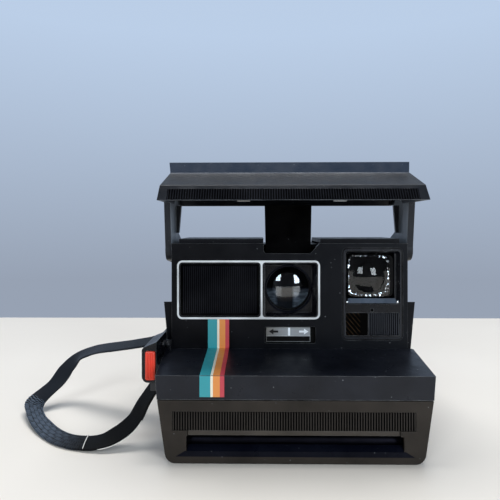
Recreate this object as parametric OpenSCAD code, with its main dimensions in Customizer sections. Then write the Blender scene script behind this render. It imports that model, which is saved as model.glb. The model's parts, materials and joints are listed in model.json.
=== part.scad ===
// Box-type instant camera with a hinged front hood, a sliding lens door, a drop-down film door
// and a webbing hand strap. Millimetres: X to the right of a person facing the lens, Y from the
// front to the back, Z up. The origin is on the base face, under the middle of the body's depth
// and in line with the taking lens.

/* [Body] */
// Distance from the middle of the body's depth to the front of the nose, and to the rear wall
half_depth = 75; // [74:0.5:76]
// Thickness of the casing walls
wall = 2; // [1.8:0.1:2.2]
// Half width of the base where it meets the upper casing
base_top_half = 58.4; // [58:0.1:58.6]
// Half width of the base just above its rounded foot
base_foot_half = 55.2; // [55:0.1:55.6]
// Radius of the rounded foot of the base
foot_r = 4.6; // [4:0.1:5]
// Height of the joint between the base and the upper casing
joint_z = 27; // [27:0.1:27.2]
// Height of the flat top behind the lens panel
top_z = 94.2; // [94:0.1:94.4]
// Height of the rear wall, where the sloped back ends
rear_z = 39; // [38:0.5:40]
// Place in depth where the flat top turns down into the sloped back
brow_y = -2; // [-3:0.5:0]

/* [Nose and lens panel] */
// Height of the front edge of the nose
nose_z = 37.2; // [37:0.1:37.4]
// Height of the shelf where it meets the lens panel
shelf_z = 40; // [39.8:0.1:40]
// Place in depth of the lens panel's front face
panel_y = -40; // [-40:0.1:-39.9]
// Thickness of the lens panel
panel_t = 2.4; // [2.2:0.1:2.4]
// Half width of the lens panel
panel_half = 58.4; // [58:0.1:58.4]
// Height of the lens panel's top edge
panel_top_z = 92; // [91.5:0.1:92]

/* [Lens] */
// Height of the taking lens axis
lens_z = 68.6; // [68.4:0.1:68.8]
// Radius of the taking lens
lens_r = 11; // [10.8:0.1:11]

/* [Hood] */
// Height of the hood's pivot axis
pivot_z = 86; // [86:0.1:86.2]
// Place in depth of the hood's pivot axis
pivot_y = -5; // [-5.2:0.1:-5]
// Radius of the hood's pivot pins
pivot_r = 3; // [2.8:0.1:3]
// Running clearance of the pins, on the radius
running = 0.05; // [0.03:0.01:0.08]
// Half width of the hood at the foot of its lip
hood_half = 60.5; // [60:0.1:60.5]

/* [Film door] */
// Radius of the film rollers
roller_r = 4.3; // [4.2:0.05:4.35]
// Height of the door's hinge axis
hinge_z = 2.5; // [2.5:0.1:2.6]
// Place in depth of the door's hinge axis
hinge_y = -58; // [-58:0.1:-57.9]

/* [Gears] */
// Module of all the gears
gear_module = 1; // [1:0.5:1]
// Teeth on each roller gear
roller_teeth = 9; // [9:1:9]
// Teeth on the drive gear
drive_teeth = 15; // [15:1:15]
// Teeth on the motor pinion
pinion_teeth = 8; // [8:1:8]

/* [Strap] */
// Width of the webbing
web_w = 10; // [8:0.5:10]
// Thickness of the webbing
web_t = 1.4; // [1.2:0.1:1.6]

/* [Hidden] */
$fn = 48;
eps = 0.01;

front_y = -half_depth;
panel_back_y = panel_y + panel_t;
ledge_front_z = 62.9;      // top of the side ledge at the lens panel
ledge_back_z = 56;         // top of the side ledge under the pivot
ledge_half = 62.8;         // half width at the top of the ledge
skirt_half = 59.4;         // half width of the upper casing at its foot
recess_half = 55;          // half width between the two arm recesses
slope_run = half_depth - brow_y;
slope_drop = top_z - rear_z;

roller_y = -66;
lower_roller_z = 6.5;
roller_gap = gear_module * roller_teeth;         // distance between the two roller axes
upper_roller_z = lower_roller_z + roller_gap;
drive_angle = 24.6;                              // direction from the upper roller to the drive gear
drive_dist = gear_module * (roller_teeth + drive_teeth) / 2;
drive_y = roller_y + drive_dist * cos(drive_angle);
drive_z = upper_roller_z + drive_dist * sin(drive_angle);
pinion_angle = 41.5;                             // direction from the drive gear to the pinion
pinion_dist = gear_module * (drive_teeth + pinion_teeth) / 2;
motor_y = drive_y + pinion_dist * cos(pinion_angle);
motor_z = drive_z + pinion_dist * sin(pinion_angle);
gear_x = -52.9;
gear_w = 2.5;

// A tooth of gear a at phase_a meets a gap of gear b, which lies at direction d from a
function mesh_phase(teeth_a, phase_a, teeth_b, d) =
    d + 180 - (phase_a - d) * teeth_a / teeth_b + 180 / teeth_b;
upper_phase = 270 % (360 / roller_teeth);
lower_phase = mesh_phase(roller_teeth, upper_phase, roller_teeth, -90);
drive_phase = mesh_phase(roller_teeth, upper_phase, drive_teeth, drive_angle);
pinion_phase = mesh_phase(drive_teeth, drive_phase, pinion_teeth, pinion_angle);

// ---------------------------------------------------------------- helpers

// A side outline (depth, height) drawn from x0 to x1
module side_prism(points, x0, x1) {
    translate([x0, 0, 0])
        rotate([90, 0, 90])
            linear_extrude(x1 - x0)
                polygon(points);
}

// A front outline (across, height) drawn from y0 to y1
module front_prism(points, y0, y1) {
    translate([0, y1, 0])
        rotate([90, 0, 0])
            linear_extrude(y1 - y0)
                polygon(points);
}

// A box between two corners
module box(lo, hi) {
    translate(lo)
        cube(hi - lo);
}

// A round bar along X, from x0 to x1
module bar_x(x0, x1, y, z, r) {
    translate([x0, y, z])
        rotate([0, 90, 0])
            cylinder(h = x1 - x0, r = r);
}

// A round bar along Y, from y0 to y1
module bar_y(y0, y1, x, z, r) {
    translate([x, y1, z])
        rotate([90, 0, 0])
            cylinder(h = y1 - y0, r = r);
}

function arc(cx, cz, r, a0, a1, n) =
    [for (i = [0:n]) [cx + r * cos(a0 + (a1 - a0) * i / n), cz + r * sin(a0 + (a1 - a0) * i / n)]];

// A rectangle with round corners, as points
function rounded(x0, z0, x1, z1, r) = concat(
    arc(x1 - r, z0 + r, r, -90, 0, 6),
    arc(x1 - r, z1 - r, r, 0, 90, 6),
    arc(x0 + r, z1 - r, r, 90, 180, 6),
    arc(x0 + r, z0 + r, r, 180, 270, 6)
);

function mirrored(points) = concat(points, [for (i = [len(points) - 1:-1:0]) [-points[i][0], points[i][1]]]);

// The base's front outline, shrunk by inset: flaring sides on a rounded foot
function base_outline(inset, z1) =
    let (lean = (base_top_half - base_foot_half) / (joint_z - foot_r))
    let (slant = sqrt(1 + lean * lean))
    let (r = foot_r - inset)
    let (cx = base_foot_half - foot_r * slant)
    mirrored(concat(
        arc(cx, foot_r, r, -90, -atan(lean), 6),
        [[base_foot_half + (z1 - foot_r) * lean - inset * slant, z1]]
    ));

// The upper casing's front outline, shrunk by inset: a skirt that flares up to the ledge height
function casing_outline(inset) = [
    [-(skirt_half - inset), joint_z], [skirt_half - inset, joint_z],
    [ledge_half - inset, 64], [ledge_half - inset, top_z + 5],
    [-(ledge_half - inset), top_z + 5], [-(ledge_half - inset), 64]
];

// The upper casing's side outline, shrunk by inset behind, above and on the slope
function casing_side(inset) =
    let (slant = inset * sqrt(slope_run * slope_run + slope_drop * slope_drop) / slope_run)
    let (bend = (slant - inset) * slope_run / slope_drop)
    [
        [panel_back_y, joint_z], [half_depth - inset, joint_z],
        [half_depth - inset, rear_z - slant + inset * slope_drop / slope_run],
        [brow_y - bend, top_z - inset], [panel_back_y, top_z - inset]
    ];

// Depth of the sloped back at height z
function slope_y(z) = brow_y + (top_z - z) * slope_run / slope_drop;

// The four corners of a gear tooth that points in direction a
function tooth(root_r, tip_r, root_half, tip_half, a) = [
    for (p = [[root_r, -root_half], [tip_r, -tip_half], [tip_r, tip_half], [root_r, root_half]])
        [p[0] * cos(a) - p[1] * sin(a), p[0] * sin(a) + p[1] * cos(a)]
];

// A spur gear about the X axis, with slim teeth so that it always runs free
module gear(teeth, phase, y, z, x0, width, bore) {
    pitch_r = gear_module * teeth / 2;
    outline = [
        for (i = [0:teeth - 1], p = tooth(pitch_r - 1.05 * gear_module, pitch_r + 0.75 * gear_module,
            0.62 * gear_module, 0.24 * gear_module, phase + i * 360 / teeth))
            p
    ];
    translate([0, y, z])
        difference() {
            side_prism(outline, x0, x0 + width);
            bar_x(x0 - 1, x0 + width + 1, 0, 0, bore);
        }
}

// ---------------------------------------------------------------- casing

base_cut_y = hinge_y + 2.9;   // front edge of the base floor, clear of the door's knuckles
base_front_y = hinge_y + 1.2; // front edge of the base's side walls
knuckle_spans = [[25, 45]];
lug_spans = [[21.5, 24.7], [45.3, 48.5]];
latch_z = 19;
screw_places = [[-46, -30], [46, -30], [-46, 62], [46, 62]];

module base_shell() {
    color([0.09, 0.09, 0.10])
    difference() {
        union() {
            difference() {
                intersection() {
                    front_prism(base_outline(0, joint_z), base_front_y, half_depth);
                    side_prism(concat(
                        [[base_front_y, 0]],
                        arc(half_depth - 4, 4, 4, -90, 0, 6),
                        [[half_depth, joint_z], [base_front_y, joint_z]]
                    ), -70, 70);
                }
                front_prism(base_outline(wall, joint_z + 1), base_front_y - 1, half_depth - wall);
                box([-50, base_front_y - 1, -1], [50, base_cut_y, 6]);
            }
            for (x = [-31, 28])
                box([x, -46, wall - 0.2], [x + 3, 66, 3]);
            for (side = [-1, 1], span = lug_spans)
                bar_x(side > 0 ? span[0] : -span[1], side > 0 ? span[1] : -span[0], hinge_y, hinge_z, 2.3);
            for (side = [-1, 1], span = lug_spans)
                box([side > 0 ? span[0] : -span[1], hinge_y, 0.2],
                    [side > 0 ? span[1] : -span[0], base_cut_y + 0.5, 2.6]);
        }
        for (side = [-1, 1])
            bar_x(side > 0 ? 21 : -49, side > 0 ? 49 : -21, hinge_y, hinge_z, 1);
        box([52, -54, latch_z - 2], [60, -42, latch_z + 2]);
        for (p = screw_places)
            translate([p[0], p[1], -1])
                cylinder(h = 2.4, r = 2.9);
    }
}

// What the arms sweep, in side outline: the space above the ledge, back to the pivot
function recess_side(grow) = [
    [panel_y - 2, top_z + 6], [panel_y - 2, ledge_front_z + 1.1 - grow],
    [-16, ledge_back_z + 0.4 - grow], [4 + grow, ledge_back_z - grow], [4 + grow, top_z + 6]
];

bump_x = [28.5, 51.5];   // the viewfinder's rear housing, across
bump_z = [64.5, 86];
bump_y = 37;

module rear_housing() {
    color([0.07, 0.075, 0.085])
    difference() {
        union() {
            difference() {
                intersection() {
                    front_prism(casing_outline(0), panel_back_y, half_depth);
                    side_prism(casing_side(0), -70, 70);
                }
                for (side = [-1, 1])
                    side_prism(recess_side(0), side > 0 ? recess_half : -70, side > 0 ? 70 : -recess_half);
                difference() {
                    intersection() {
                        front_prism(casing_outline(wall), panel_back_y + wall, half_depth - wall);
                        side_prism(casing_side(wall), -70, 70);
                    }
                    for (side = [-1, 1])
                        side_prism(recess_side(wall), side > 0 ? recess_half - wall : -70,
                            side > 0 ? 70 : -recess_half + wall);
                }
                // front opening, behind the lens panel and over the nose
                box([-52.5, panel_back_y - 1, joint_z + wall], [52.5, panel_back_y + wall + 1, 90]);
                box([-52.5, panel_back_y - 1, joint_z - 1], [52.5, panel_back_y + wall + 1, 45]);
                // shallow trough in the flat top
                box([-12.6, panel_back_y - 1, top_z - 3], [15.5, 3, top_z + 1]);
            }
            // floor of the trough, ending on the sloped back
            side_prism([
                [-29, top_z - 4.6], [-29, top_z - 3],
                [slope_y(top_z - 3), top_z - 3], [slope_y(top_z - 4.6), top_z - 4.6]
            ], -14, 17);
            // viewfinder bump on the sloped back
            side_prism([
                [8, bump_z[1]], [bump_y - 3, bump_z[1]],
                [bump_y, bump_z[1] - 3], [bump_y, bump_z[0]], [20, bump_z[0]]
            ], bump_x[0], bump_x[1]);
        }
        // slot for the lens door
        box([-12.8, panel_back_y - 1, 87], [14.6, -29, top_z + 1]);
        // inside of the viewfinder bump and the sight opening
        box([bump_x[0] + wall, -10, bump_z[0] + wall], [bump_x[1] - wall, bump_y - 5, bump_z[1] - wall]);
        box([bump_x[0] + 4, 30, bump_z[0] + 4.5], [bump_x[1] - 4, bump_y + 1, bump_z[1] - 5.5]);
        // pivot pin holes
        for (side = [-1, 1])
            bar_x(side > 0 ? 50 : -58, side > 0 ? 58 : -50, pivot_y, pivot_z, pivot_r);
        // film counter window
        box([-8, half_depth - 3, 29.6], [8, half_depth + 1, 35.6]);
    }
}

module loft(front_outline, y0, rear_outline, y1) {
    hull() {
        front_prism(front_outline, y0, y0 + eps);
        front_prism(rear_outline, y1 - eps, y1);
    }
}

// The nose's front outline and its rear one, shrunk by inset
function nose_front(inset) = mirrored([[58.5 - inset, joint_z], [59.2 - inset, nose_z - inset]]);
function nose_rear(inset) = mirrored([[skirt_half + 0.2 - inset, joint_z], [61.2 - inset, shelf_z - inset]]);

module nose_solid() {
    loft(nose_front(0), front_y, nose_rear(0), panel_back_y);
}

module shelf_cover() {
    color([0.07, 0.075, 0.09])
    difference() {
        nose_solid();
        translate([0, 0, -0.5])
            loft(nose_front(wall - 0.5), front_y + wall, nose_rear(wall - 0.5), panel_back_y + 1);
        // seat for the lens panel's foot
        box([-70, panel_y, shelf_z - 0.6], [70, panel_back_y + 1, shelf_z + 1]);
    }
}

frame_box = [-55.6, 54.4, 15.2, 83.5];       // outer edge of the grey line
frame_line = 0.95;
divider_x = -13.2;
cell_left = [-53.9, 56.1, -14.9, 81.8];
slider_slot = [-12, 42.5, 13, 50.6];
finder_box = [26.3, 44.2, 55.9, 89.6];       // viewfinder surround

module rounded_box(b, r, y0, y1, grow) {
    front_prism(rounded(b[0] - grow, b[1] - grow, b[2] + grow, b[3] + grow, r + grow), y0, y1);
}

module front_panel() {
    color([0.07, 0.075, 0.085])
    difference() {
        box([-panel_half, panel_y, shelf_z - 0.6], [panel_half, panel_back_y, panel_top_z]);
        // notch in front of the strut
        front_prism(concat(
            [[-12.6, panel_top_z + 1]], arc(-11.1, 88.5, 1.5, 180, 270, 3),
            [[10.5, 87], [16, panel_top_z + 1]]
        ), panel_y - 1, panel_back_y + 1);
        // the lens cell's mouth
        rounded_box([divider_x + 0.6, frame_box[1] + 1, frame_box[2] - 1, frame_box[3] - 1], 1.6,
            panel_y - 1, panel_back_y + 1, 0.1);
        // the blank cell's seat
        rounded_box(cell_left, 1, panel_y - 1, panel_y + 0.7, 0.05);
        // exposure slot, and the pocket behind it in which the slider runs
        rounded_box(slider_slot, 0.8, panel_y - 1, panel_back_y + 1, 0);
        box([-17, panel_y + 1, slider_slot[1] - 0.6], [18.4, panel_back_y + 1, slider_slot[3] + 0.6]);
        // seat of the viewfinder surround
        rounded_box(finder_box, 2.4, panel_y - 1, panel_back_y + 1, 0.1);
    }
}

module lens_frame() {
    color([0.72, 0.72, 0.70])
    difference() {
        rounded_box(frame_box, 2.6, panel_y - 0.45, panel_y, 0);
        rounded_box([frame_box[0], frame_box[1], divider_x, frame_box[3]], 2.6,
            panel_y - 1, panel_y + 1, -frame_line);
        rounded_box([divider_x - frame_line, frame_box[1], frame_box[2], frame_box[3]], 2.6,
            panel_y - 1, panel_y + 1, -frame_line);
    }
}

module name_panel() {
    color([0.05, 0.05, 0.055])
        rounded_box(cell_left, 1, panel_y - 0.1, panel_y + 0.7, 0);
}

// ---------------------------------------------------------------- lens and shutter

funnel_back_y = -32.5;
door_y = [-32.1, -30.7];     // the lens door's two faces
barrel_y = [-30.3, -18];

module lens_funnel() {
    mouth = [divider_x + 0.6, frame_box[1] + 1, frame_box[2] - 1, frame_box[3] - 1];
    throat = [-12.2, lens_z - 12.2, 12.2, lens_z + 12.2];
    color([0.06, 0.06, 0.065])
    difference() {
        union() {
            rounded_box(mouth, 1.6, panel_y - 0.2, panel_back_y, 0);
            box([mouth[0] - 1.4, panel_back_y, mouth[1] - 1.4], [mouth[2] + 1.4, funnel_back_y, mouth[3] + 1.4]);
        }
        hull() {
            rounded_box(mouth, 1.4, panel_y - 0.21, panel_y - 0.2, -0.5);
            rounded_box(throat, 1.4, funnel_back_y - 1.1, funnel_back_y - 1, -0.3);
        }
        bar_y(funnel_back_y - 2, funnel_back_y + 1, 0, lens_z, lens_r + 0.5);
    }
}

module lens_barrel() {
    color([0.05, 0.05, 0.05])
    difference() {
        union() {
            bar_y(barrel_y[0], barrel_y[1], 0, lens_z, 13);
            bar_y(-24, -22, 0, lens_z, 15);
        }
        bar_y(barrel_y[0] - 1, barrel_y[1] - 4, 0, lens_z, lens_r);
        bar_y(barrel_y[0] - 1, barrel_y[1] + 1, 0, lens_z, 7);
    }
}

// The lens section, from the axis out: a domed front and a shallow back
function lens_section(r, bulge, edge, back) = concat(
    [for (i = [0:8]) [r * sin(90 * i / 8), -edge / 2 - bulge * cos(90 * i / 8)]],
    [for (i = [8:-1:0]) [r * i / 8, edge / 2 + back * (1 - i * i / 64)]]
);

module taking_lens() {
    color([0.75, 0.8, 0.85, 0.5])
        translate([0, -24.6, lens_z])
            rotate([-90, 0, 0])
                rotate_extrude()
                    polygon(lens_section(lens_r, 3.6, 2.4, 1.2));
}

plate_y = -17.4;
module shutter_plate() {
    color([0.12, 0.12, 0.12])
    difference() {
        union() {
            box([-24, plate_y - 0.6, 52], [24, plate_y, 89]);
            box([-24, plate_y, 52], [24, plate_y + 3.4, 53.2]);
        }
        bar_y(plate_y - 2, plate_y + 2, 0, lens_z, 6.5);
    }
}

// A shutter blade: a thin tail with a tear-shaped hole that slides across the axis
module shutter_blade(side, y) {
    difference() {
        box([side > 0 ? -8 : -21, y, lens_z - 8], [side > 0 ? 21 : 8, y + 0.4, lens_z + 8]);
        bar_y(y - 1, y + 1, side * 12, lens_z, 4);
    }
}

module shutter_blade_left() {
    color([0.3, 0.3, 0.32])
        shutter_blade(-1, plate_y + 0.5);
}

module shutter_blade_right() {
    color([0.35, 0.35, 0.37])
        shutter_blade(1, plate_y + 1.3);
}

module solenoid() {
    color([0.55, 0.4, 0.25])
    union() {
        bar_y(plate_y, plate_y + 12, -17, 84, 4.5);
        bar_y(plate_y + 12, plate_y + 13, -17, 84, 5.4);
    }
}

// ---------------------------------------------------------------- viewfinder and photocell

finder_mouth = [27.9, 62, 54.8, 88.1];       // front edge of the sloping walls round the finder lens
finder_lens_box = [29.2, 64.8, 52.3, 86.5];  // rim of the finder lens
finder_face_box = [29.4, 65, 50.5, 86.3];    // raised face of the finder lens
sensor_box = [28, 46.4, 38.8, 57.5];
grille_box = [39.2, 46.4, 54.3, 57.5];

module viewfinder_surround() {
    color([0.055, 0.06, 0.065])
    difference() {
        rounded_box(finder_box, 2.4, panel_y + 0.1, panel_back_y, 0);
        // sloping walls and sill round the lens
        hull() {
            rounded_box(finder_mouth, 1.4, panel_y - 0.1, panel_y + 0.11, 0);
            rounded_box(finder_lens_box, 1.2, panel_back_y, panel_back_y + 1, 0.1);
        }
        rounded_box(sensor_box, 0.3, panel_y - 1, panel_back_y + 1, 0.05);
        rounded_box(grille_box, 0.3, panel_y - 1, panel_y + 0.8, 0.05);
        box([40.2, panel_y - 1, 58.2], [41.6, panel_y + 1.4, 59.6]);
    }
}

module viewfinder_lens() {
    color([0.85, 0.88, 0.9, 0.35])
    union() {
        rounded_box(finder_lens_box, 1.2, panel_back_y + 0.2, panel_back_y + 3, 0);
        rounded_box(finder_face_box, 1.2, panel_y + 1.4, panel_back_y + 1, 0);
        intersection() {
            translate([39.3, panel_y + 9.6, 75.6])
                sphere(r = 9.3);
            box([29.3, panel_y + 0.3, 65], [50, panel_y + 2, 86.2]);
        }
    }
}

module viewfinder_tube() {
    color([0.04, 0.04, 0.045])
    difference() {
        box([30.8, panel_back_y + 3.2, 66.8], [49.2, 31, 83.6]);
        box([32, panel_back_y + 2, 68], [48, 32, 82.4]);
    }
}

module eyepiece() {
    color([0.5, 0.55, 0.6, 0.5])
        box([bump_x[0] + 2.4, 31.1, bump_z[0] + 2.4], [bump_x[1] - 2.4, 31.9, bump_z[1] - 2.4]);
}

module sensor_window() {
    color([0.15, 0.1, 0.06, 0.7])
        rounded_box(sensor_box, 0.3, panel_y + 0.5, panel_y + 1.7, 0);
}

module sensor_grille() {
    color([0.06, 0.065, 0.07])
        rounded_box(grille_box, 0.3, panel_y + 0.1, panel_y + 0.8, 0);
}

module photocell() {
    color([0.2, 0.2, 0.22])
    union() {
        bar_y(panel_y + 2, panel_y + 6, 33.4, 52, 3);
        box([29, panel_y + 6, 47], [38, panel_y + 7, 57]);
    }
}

// ---------------------------------------------------------------- exposure slider

module slider_track() {
    color([0.05, 0.05, 0.05])
    difference() {
        box([-19, panel_back_y, slider_slot[1] - 1], [20.4, panel_back_y + 1, slider_slot[3] + 1.4]);
        box([-2, panel_back_y - 1, 46], [2, panel_back_y + 2, 47]);
    }
}

module exposure_slider() {
    color([0.6, 0.6, 0.58])
    union() {
        box([-11.4, panel_y + 1.5, 43], [10.5, panel_y + 2, 50.2]);
        box([-11.4, panel_y + 1.2, 43], [10.5, panel_y + 1.6, 45.9]);
    }
}

// ---------------------------------------------------------------- shutter button

housing_front_y = -62;
button_box = [-66.4, 31, -61.9, 44];

module button_housing() {
    color([0.06, 0.06, 0.065])
    difference() {
        union() {
            front_prism(concat(
                arc(-65.2, 32.6, 2.8, 180, 270, 5),
                [[-59.6, 29.8], [-59.6, 37.4], [-61.3, 38.6], [-61.3, 48.2]],
                arc(-66.2, 44.2, 1.8, 110, 180, 4)
            ), housing_front_y, -31);
        }
        nose_solid();
        translate([0, panel_back_y - 0.2, 0])
            box([-70, 0, 20], [-59, 40, 70]);
        rounded_box(button_box, 0.8, housing_front_y - 1, -52, 0.25);
    }
}

module shutter_button() {
    color([0.86, 0.2, 0.13])
    difference() {
        union() {
            rounded_box(button_box, 0.7, housing_front_y - 0.6, -55, 0);
            for (i = [0:4])
                box([button_box[0] + 0.45 + i * 0.85, housing_front_y - 1, 32], [button_box[0] + 0.85 + i * 0.85, housing_front_y, 43]);
        }
        bar_y(-59, -54, -64.1, 37.5, 1.9);
    }
}

module button_spring() {
    color([0.7, 0.7, 0.72])
    difference() {
        bar_y(-57, -52, -64.1, 37.5, 1.6);
        bar_y(-58, -51, -64.1, 37.5, 1.1);
    }
}

// ---------------------------------------------------------------- light path

mirror_top = [14, 75.6];
mirror_dir = [slope_run, -slope_drop] / sqrt(slope_run * slope_run + slope_drop * slope_drop);
mirror_normal = [-mirror_dir[1], mirror_dir[0]];
mirror_len = 62;

// A slanting plate: its top edge at p, its half width from half_a above to half_b below
module slant_plate(p, len, t, half_a, half_b) {
    translate([0, p[0], p[1]])
        rotate([-atan(slope_drop / slope_run), 0, 0])
            linear_extrude(t)
                polygon([[-half_a, 0], [half_a, 0], [half_b, len], [-half_b, len]]);
}

module mirror() {
    color([0.8, 0.82, 0.85])
        slant_plate(mirror_top, mirror_len, 1.4, 17, 40);
}

module mirror_carrier() {
    color([0.08, 0.08, 0.08])
        slant_plate(mirror_top + mirror_normal * 1.4, mirror_len, 1.8, 18, 41);
}

module exposure_chamber() {
    color([0.05, 0.05, 0.05])
    difference() {
        side_prism([[-31.5, 15], [60, 15], [60, 34], [30, 55], [-31.5, 55]], -46, 46);
        side_prism([[-30.3, 16.4], [70, 16.4], [70, 80], [-30.3, 80]], -44.8, 44.8);
        box([-39.5, -30, 10], [39.5, 49, 20]);
    }
}

module circuit_board() {
    color([0.1, 0.3, 0.15])
    union() {
        box([-22, -70, 32.2], [52, -39, 33.6]);
        for (p = [[-12, -62, 6, 4], [6, -60, 9, 7], [28, -64, 5, 5], [40, -50, 8, 4]])
            box([p[0], p[1], 30.2], [p[0] + p[2], p[1] + p[3], 32.2]);
        bar_y(-66, -56, 46, 30.4, 2.2);
    }
}

// ---------------------------------------------------------------- drive

module motor() {
    color([0.65, 0.65, 0.67])
    union() {
        bar_x(-48, -25, motor_y, motor_z, 7.4);
        bar_x(-53.4, -24, motor_y, motor_z, 1);
    }
}

module motor_pinion() {
    color([0.85, 0.82, 0.7])
        gear(pinion_teeth, pinion_phase, motor_y, motor_z, gear_x, gear_w, 1 + running);
}

module drive_gear() {
    color([0.9, 0.88, 0.8])
        gear(drive_teeth, drive_phase, drive_y, drive_z, gear_x, gear_w, 1.5 + running);
}

module drive_gear_stud() {
    color([0.6, 0.6, 0.6])
    union() {
        bar_x(-54.6, -49.4, drive_y, drive_z, 1.5);
        bar_x(-49.4, -48.6, drive_y, drive_z, 2.6);
    }
}

// ---------------------------------------------------------------- film pack

pack_half = 47.3;
pack_y = [-48, 68];

module film_pack() {
    color([0.12, 0.12, 0.13])
    difference() {
        box([-pack_half, pack_y[0], 3], [pack_half, pack_y[1], 13.6]);
        box([-pack_half + 1.2, pack_y[0] + 1, 4.1], [pack_half - 1.2, pack_y[1] - 1, 12.6]);
        box([-39.5, -30, 12], [39.5, 49, 14]);
        box([-44.6, pack_y[0] - 1, 10.6], [44.6, pack_y[0] + 2, 12.4]);
    }
}

module film_sheets() {
    color([0.85, 0.85, 0.82])
        box([-44, -44, 8.8], [44, 63, 12.4]);
}

module pack_spring() {
    color([0.6, 0.6, 0.55])
    union() {
        box([-40, -40, 6], [40, 60, 6.5]);
        for (y = [-30, 40])
            side_prism([[y, 6.4], [y + 10, 6.4], [y + 7, 8.7], [y + 3, 8.7]], -34, 34);
    }
}

module pack_battery() {
    color([0.75, 0.72, 0.6])
        box([-45, -44, 4.2], [45, 50, 5.8]);
}

// ---------------------------------------------------------------- film counter

counter_y = 64.6;

module counter_wheel() {
    color([0.9, 0.9, 0.88])
    difference() {
        union() {
            translate([0, counter_y, 29])
                cylinder(h = 7, r = 7.6);
            translate([0, counter_y, 28])
                cylinder(h = 1.2, r = 4);
        }
        translate([0, counter_y, 27])
            cylinder(h = 10, r = 1.5 + running);
    }
}

module counter_window() {
    color([0.8, 0.85, 0.9, 0.4])
        box([-8, half_depth - 1.6, 29.6], [8, half_depth - 0.4, 35.6]);
}

// ---------------------------------------------------------------- film door

exit_slot = [-46, 5, 46, 11.6];

module film_door() {
    color([0.13, 0.115, 0.105])
    difference() {
        union() {
            difference() {
                front_prism(base_outline(0, joint_z - 0.4), front_y, hinge_y + 0.8);
                front_prism(base_outline(wall, joint_z - 0.4 - wall), front_y + wall, hinge_y + 2);
                // the foot is cut back, so that it clears the base as the door drops
                box([-70, hinge_y - 0.4, -1], [70, hinge_y + 2, hinge_z + 2.5]);
                // gaps in the floor for the base's hinge lugs and for its front edge as the door drops
                for (side = [-1, 1])
                    box([side > 0 ? 21.2 : -54.2, hinge_y - 2.7, -1], [side > 0 ? 54.2 : -21.2, hinge_y, 5]);
            }
            for (side = [-1, 1], span = knuckle_spans) {
                bar_x(side > 0 ? span[0] : -span[1], side > 0 ? span[1] : -span[0], hinge_y, hinge_z, 2.4);
                box([side > 0 ? span[0] : -span[1], hinge_y - 3, 0.1],
                    [side > 0 ? span[1] : -span[0], hinge_y, 2]);
            }
        }
        // exit slot, with a sloping lower lip
        side_prism([[front_y - 1, 4.6], [front_y + 3, 7], [front_y + 3, 11.6], [front_y - 1, 11.6]],
            exit_slot[0], exit_slot[2]);
        // seats of the ribbed band and of the plain strip below it
        box([-52, front_y - 1, 13.9], [51, front_y + 0.7, 22]);
        box([-45.6, front_y - 1, 11.5], [44.6, front_y + 1.1, 14]);
        for (side = [-1, 1])
            bar_x(side > 0 ? 24 : -46, side > 0 ? 46 : -24, hinge_y, hinge_z, 1 + running);
        // opening for the drive gear in the rear edge, and a pocket for the lower roller gear
        box([-53.6, -64, 10], [-49.6, -56, joint_z + 1]);
        box([-53.2, -71.6, 1.1], [-50.1, -60.6, 4.8]);
    }
}

module door_band() {
    color([0.1, 0.09, 0.085])
        box([-52, front_y + 0.05, 13.9], [51, front_y + 0.7, 22]);
}

module roller_frame() {
    color([0.5, 0.5, 0.5])
    difference() {
        union() {
            for (side = [-1, 1])
                box([side > 0 ? 47.3 : -48.8, -71.6, 2.4], [side > 0 ? 48.8 : -47.3, -60.6, 21.4]);
            box([-48, -71.6, 21.4], [48, -60.6, 22.6]);
            for (side = [-1, 1])
                box([side > 0 ? 47.3 : -48.8, -71.6, 21.4], [side > 0 ? 48.8 : -47.3, -60.6, 22.6]);
        }
        for (z = [lower_roller_z, upper_roller_z])
            bar_x(-50, 50, roller_y, z, 1.6 + running);
    }
}

module roller(z) {
    union() {
        bar_x(-46.6, 46.6, roller_y, z, roller_r);
        bar_x(-50.2, 50.2, roller_y, z, 1.6);
        bar_x(-53.2, -50.2, roller_y, z, 1.2);
    }
}

module upper_roller() {
    color([0.75, 0.75, 0.77])
        roller(upper_roller_z);
}

module lower_roller() {
    color([0.75, 0.75, 0.77])
        roller(lower_roller_z);
}

module upper_roller_gear() {
    color([0.9, 0.88, 0.8])
        gear(roller_teeth, upper_phase, roller_y, upper_roller_z, gear_x, gear_w, 1.2);
}

module lower_roller_gear() {
    color([0.9, 0.88, 0.8])
        gear(roller_teeth, lower_phase, roller_y, lower_roller_z, gear_x, gear_w, 1.2);
}

module hinge_pins() {
    color([0.7, 0.7, 0.7])
        for (side = [-1, 1])
            bar_x(side > 0 ? 21.5 : -48.5, side > 0 ? 48.5 : -21.5, hinge_y, hinge_z, 1);
}

module door_latch() {
    color([0.1, 0.1, 0.1])
    union() {
        box([58.2, -54, latch_z - 4], [59.4, -45, latch_z + 4]);
        for (i = [0:3])
            box([59, -52.6 + i * 2, latch_z - 3.4], [60, -51.8 + i * 2, latch_z + 3.4]);
        box([54.4, -53, latch_z - 1.6], [58.4, -47, latch_z + 1.6]);
        box([53.2, -53, latch_z - 3], [54.6, -44, latch_z + 3]);
    }
}

// ---------------------------------------------------------------- hood

lip_foot = [-65.5, 112];
lip_top = [-61, 119];
fold = [-42, 126.7];
brow = [-39, 132.3];
crown = [-16, 130];
rear_edge = [-3, 112];
clear_r = 36.6;      // radius about the pivot that the casing's top corner sweeps

hood_outer_side = [lip_foot, lip_top, fold, brow, crown, rear_edge];
hood_inner_side = [
    [lip_foot[0] + 2, lip_foot[1] - 1], [lip_foot[0] + 2.9, lip_foot[1] + 1.2],
    [lip_top[0] + 1.4, lip_top[1] - 1.7], [fold[0] + 1.2, fold[1] - 1.7],
    [brow[0] + 1.7, brow[1] - 2.3], [crown[0] - 1.3, crown[1] - 2.1],
    [rear_edge[0] - 2.3, rear_edge[1]], [rear_edge[0] - 2.3, rear_edge[1] - 1]
];

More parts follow.
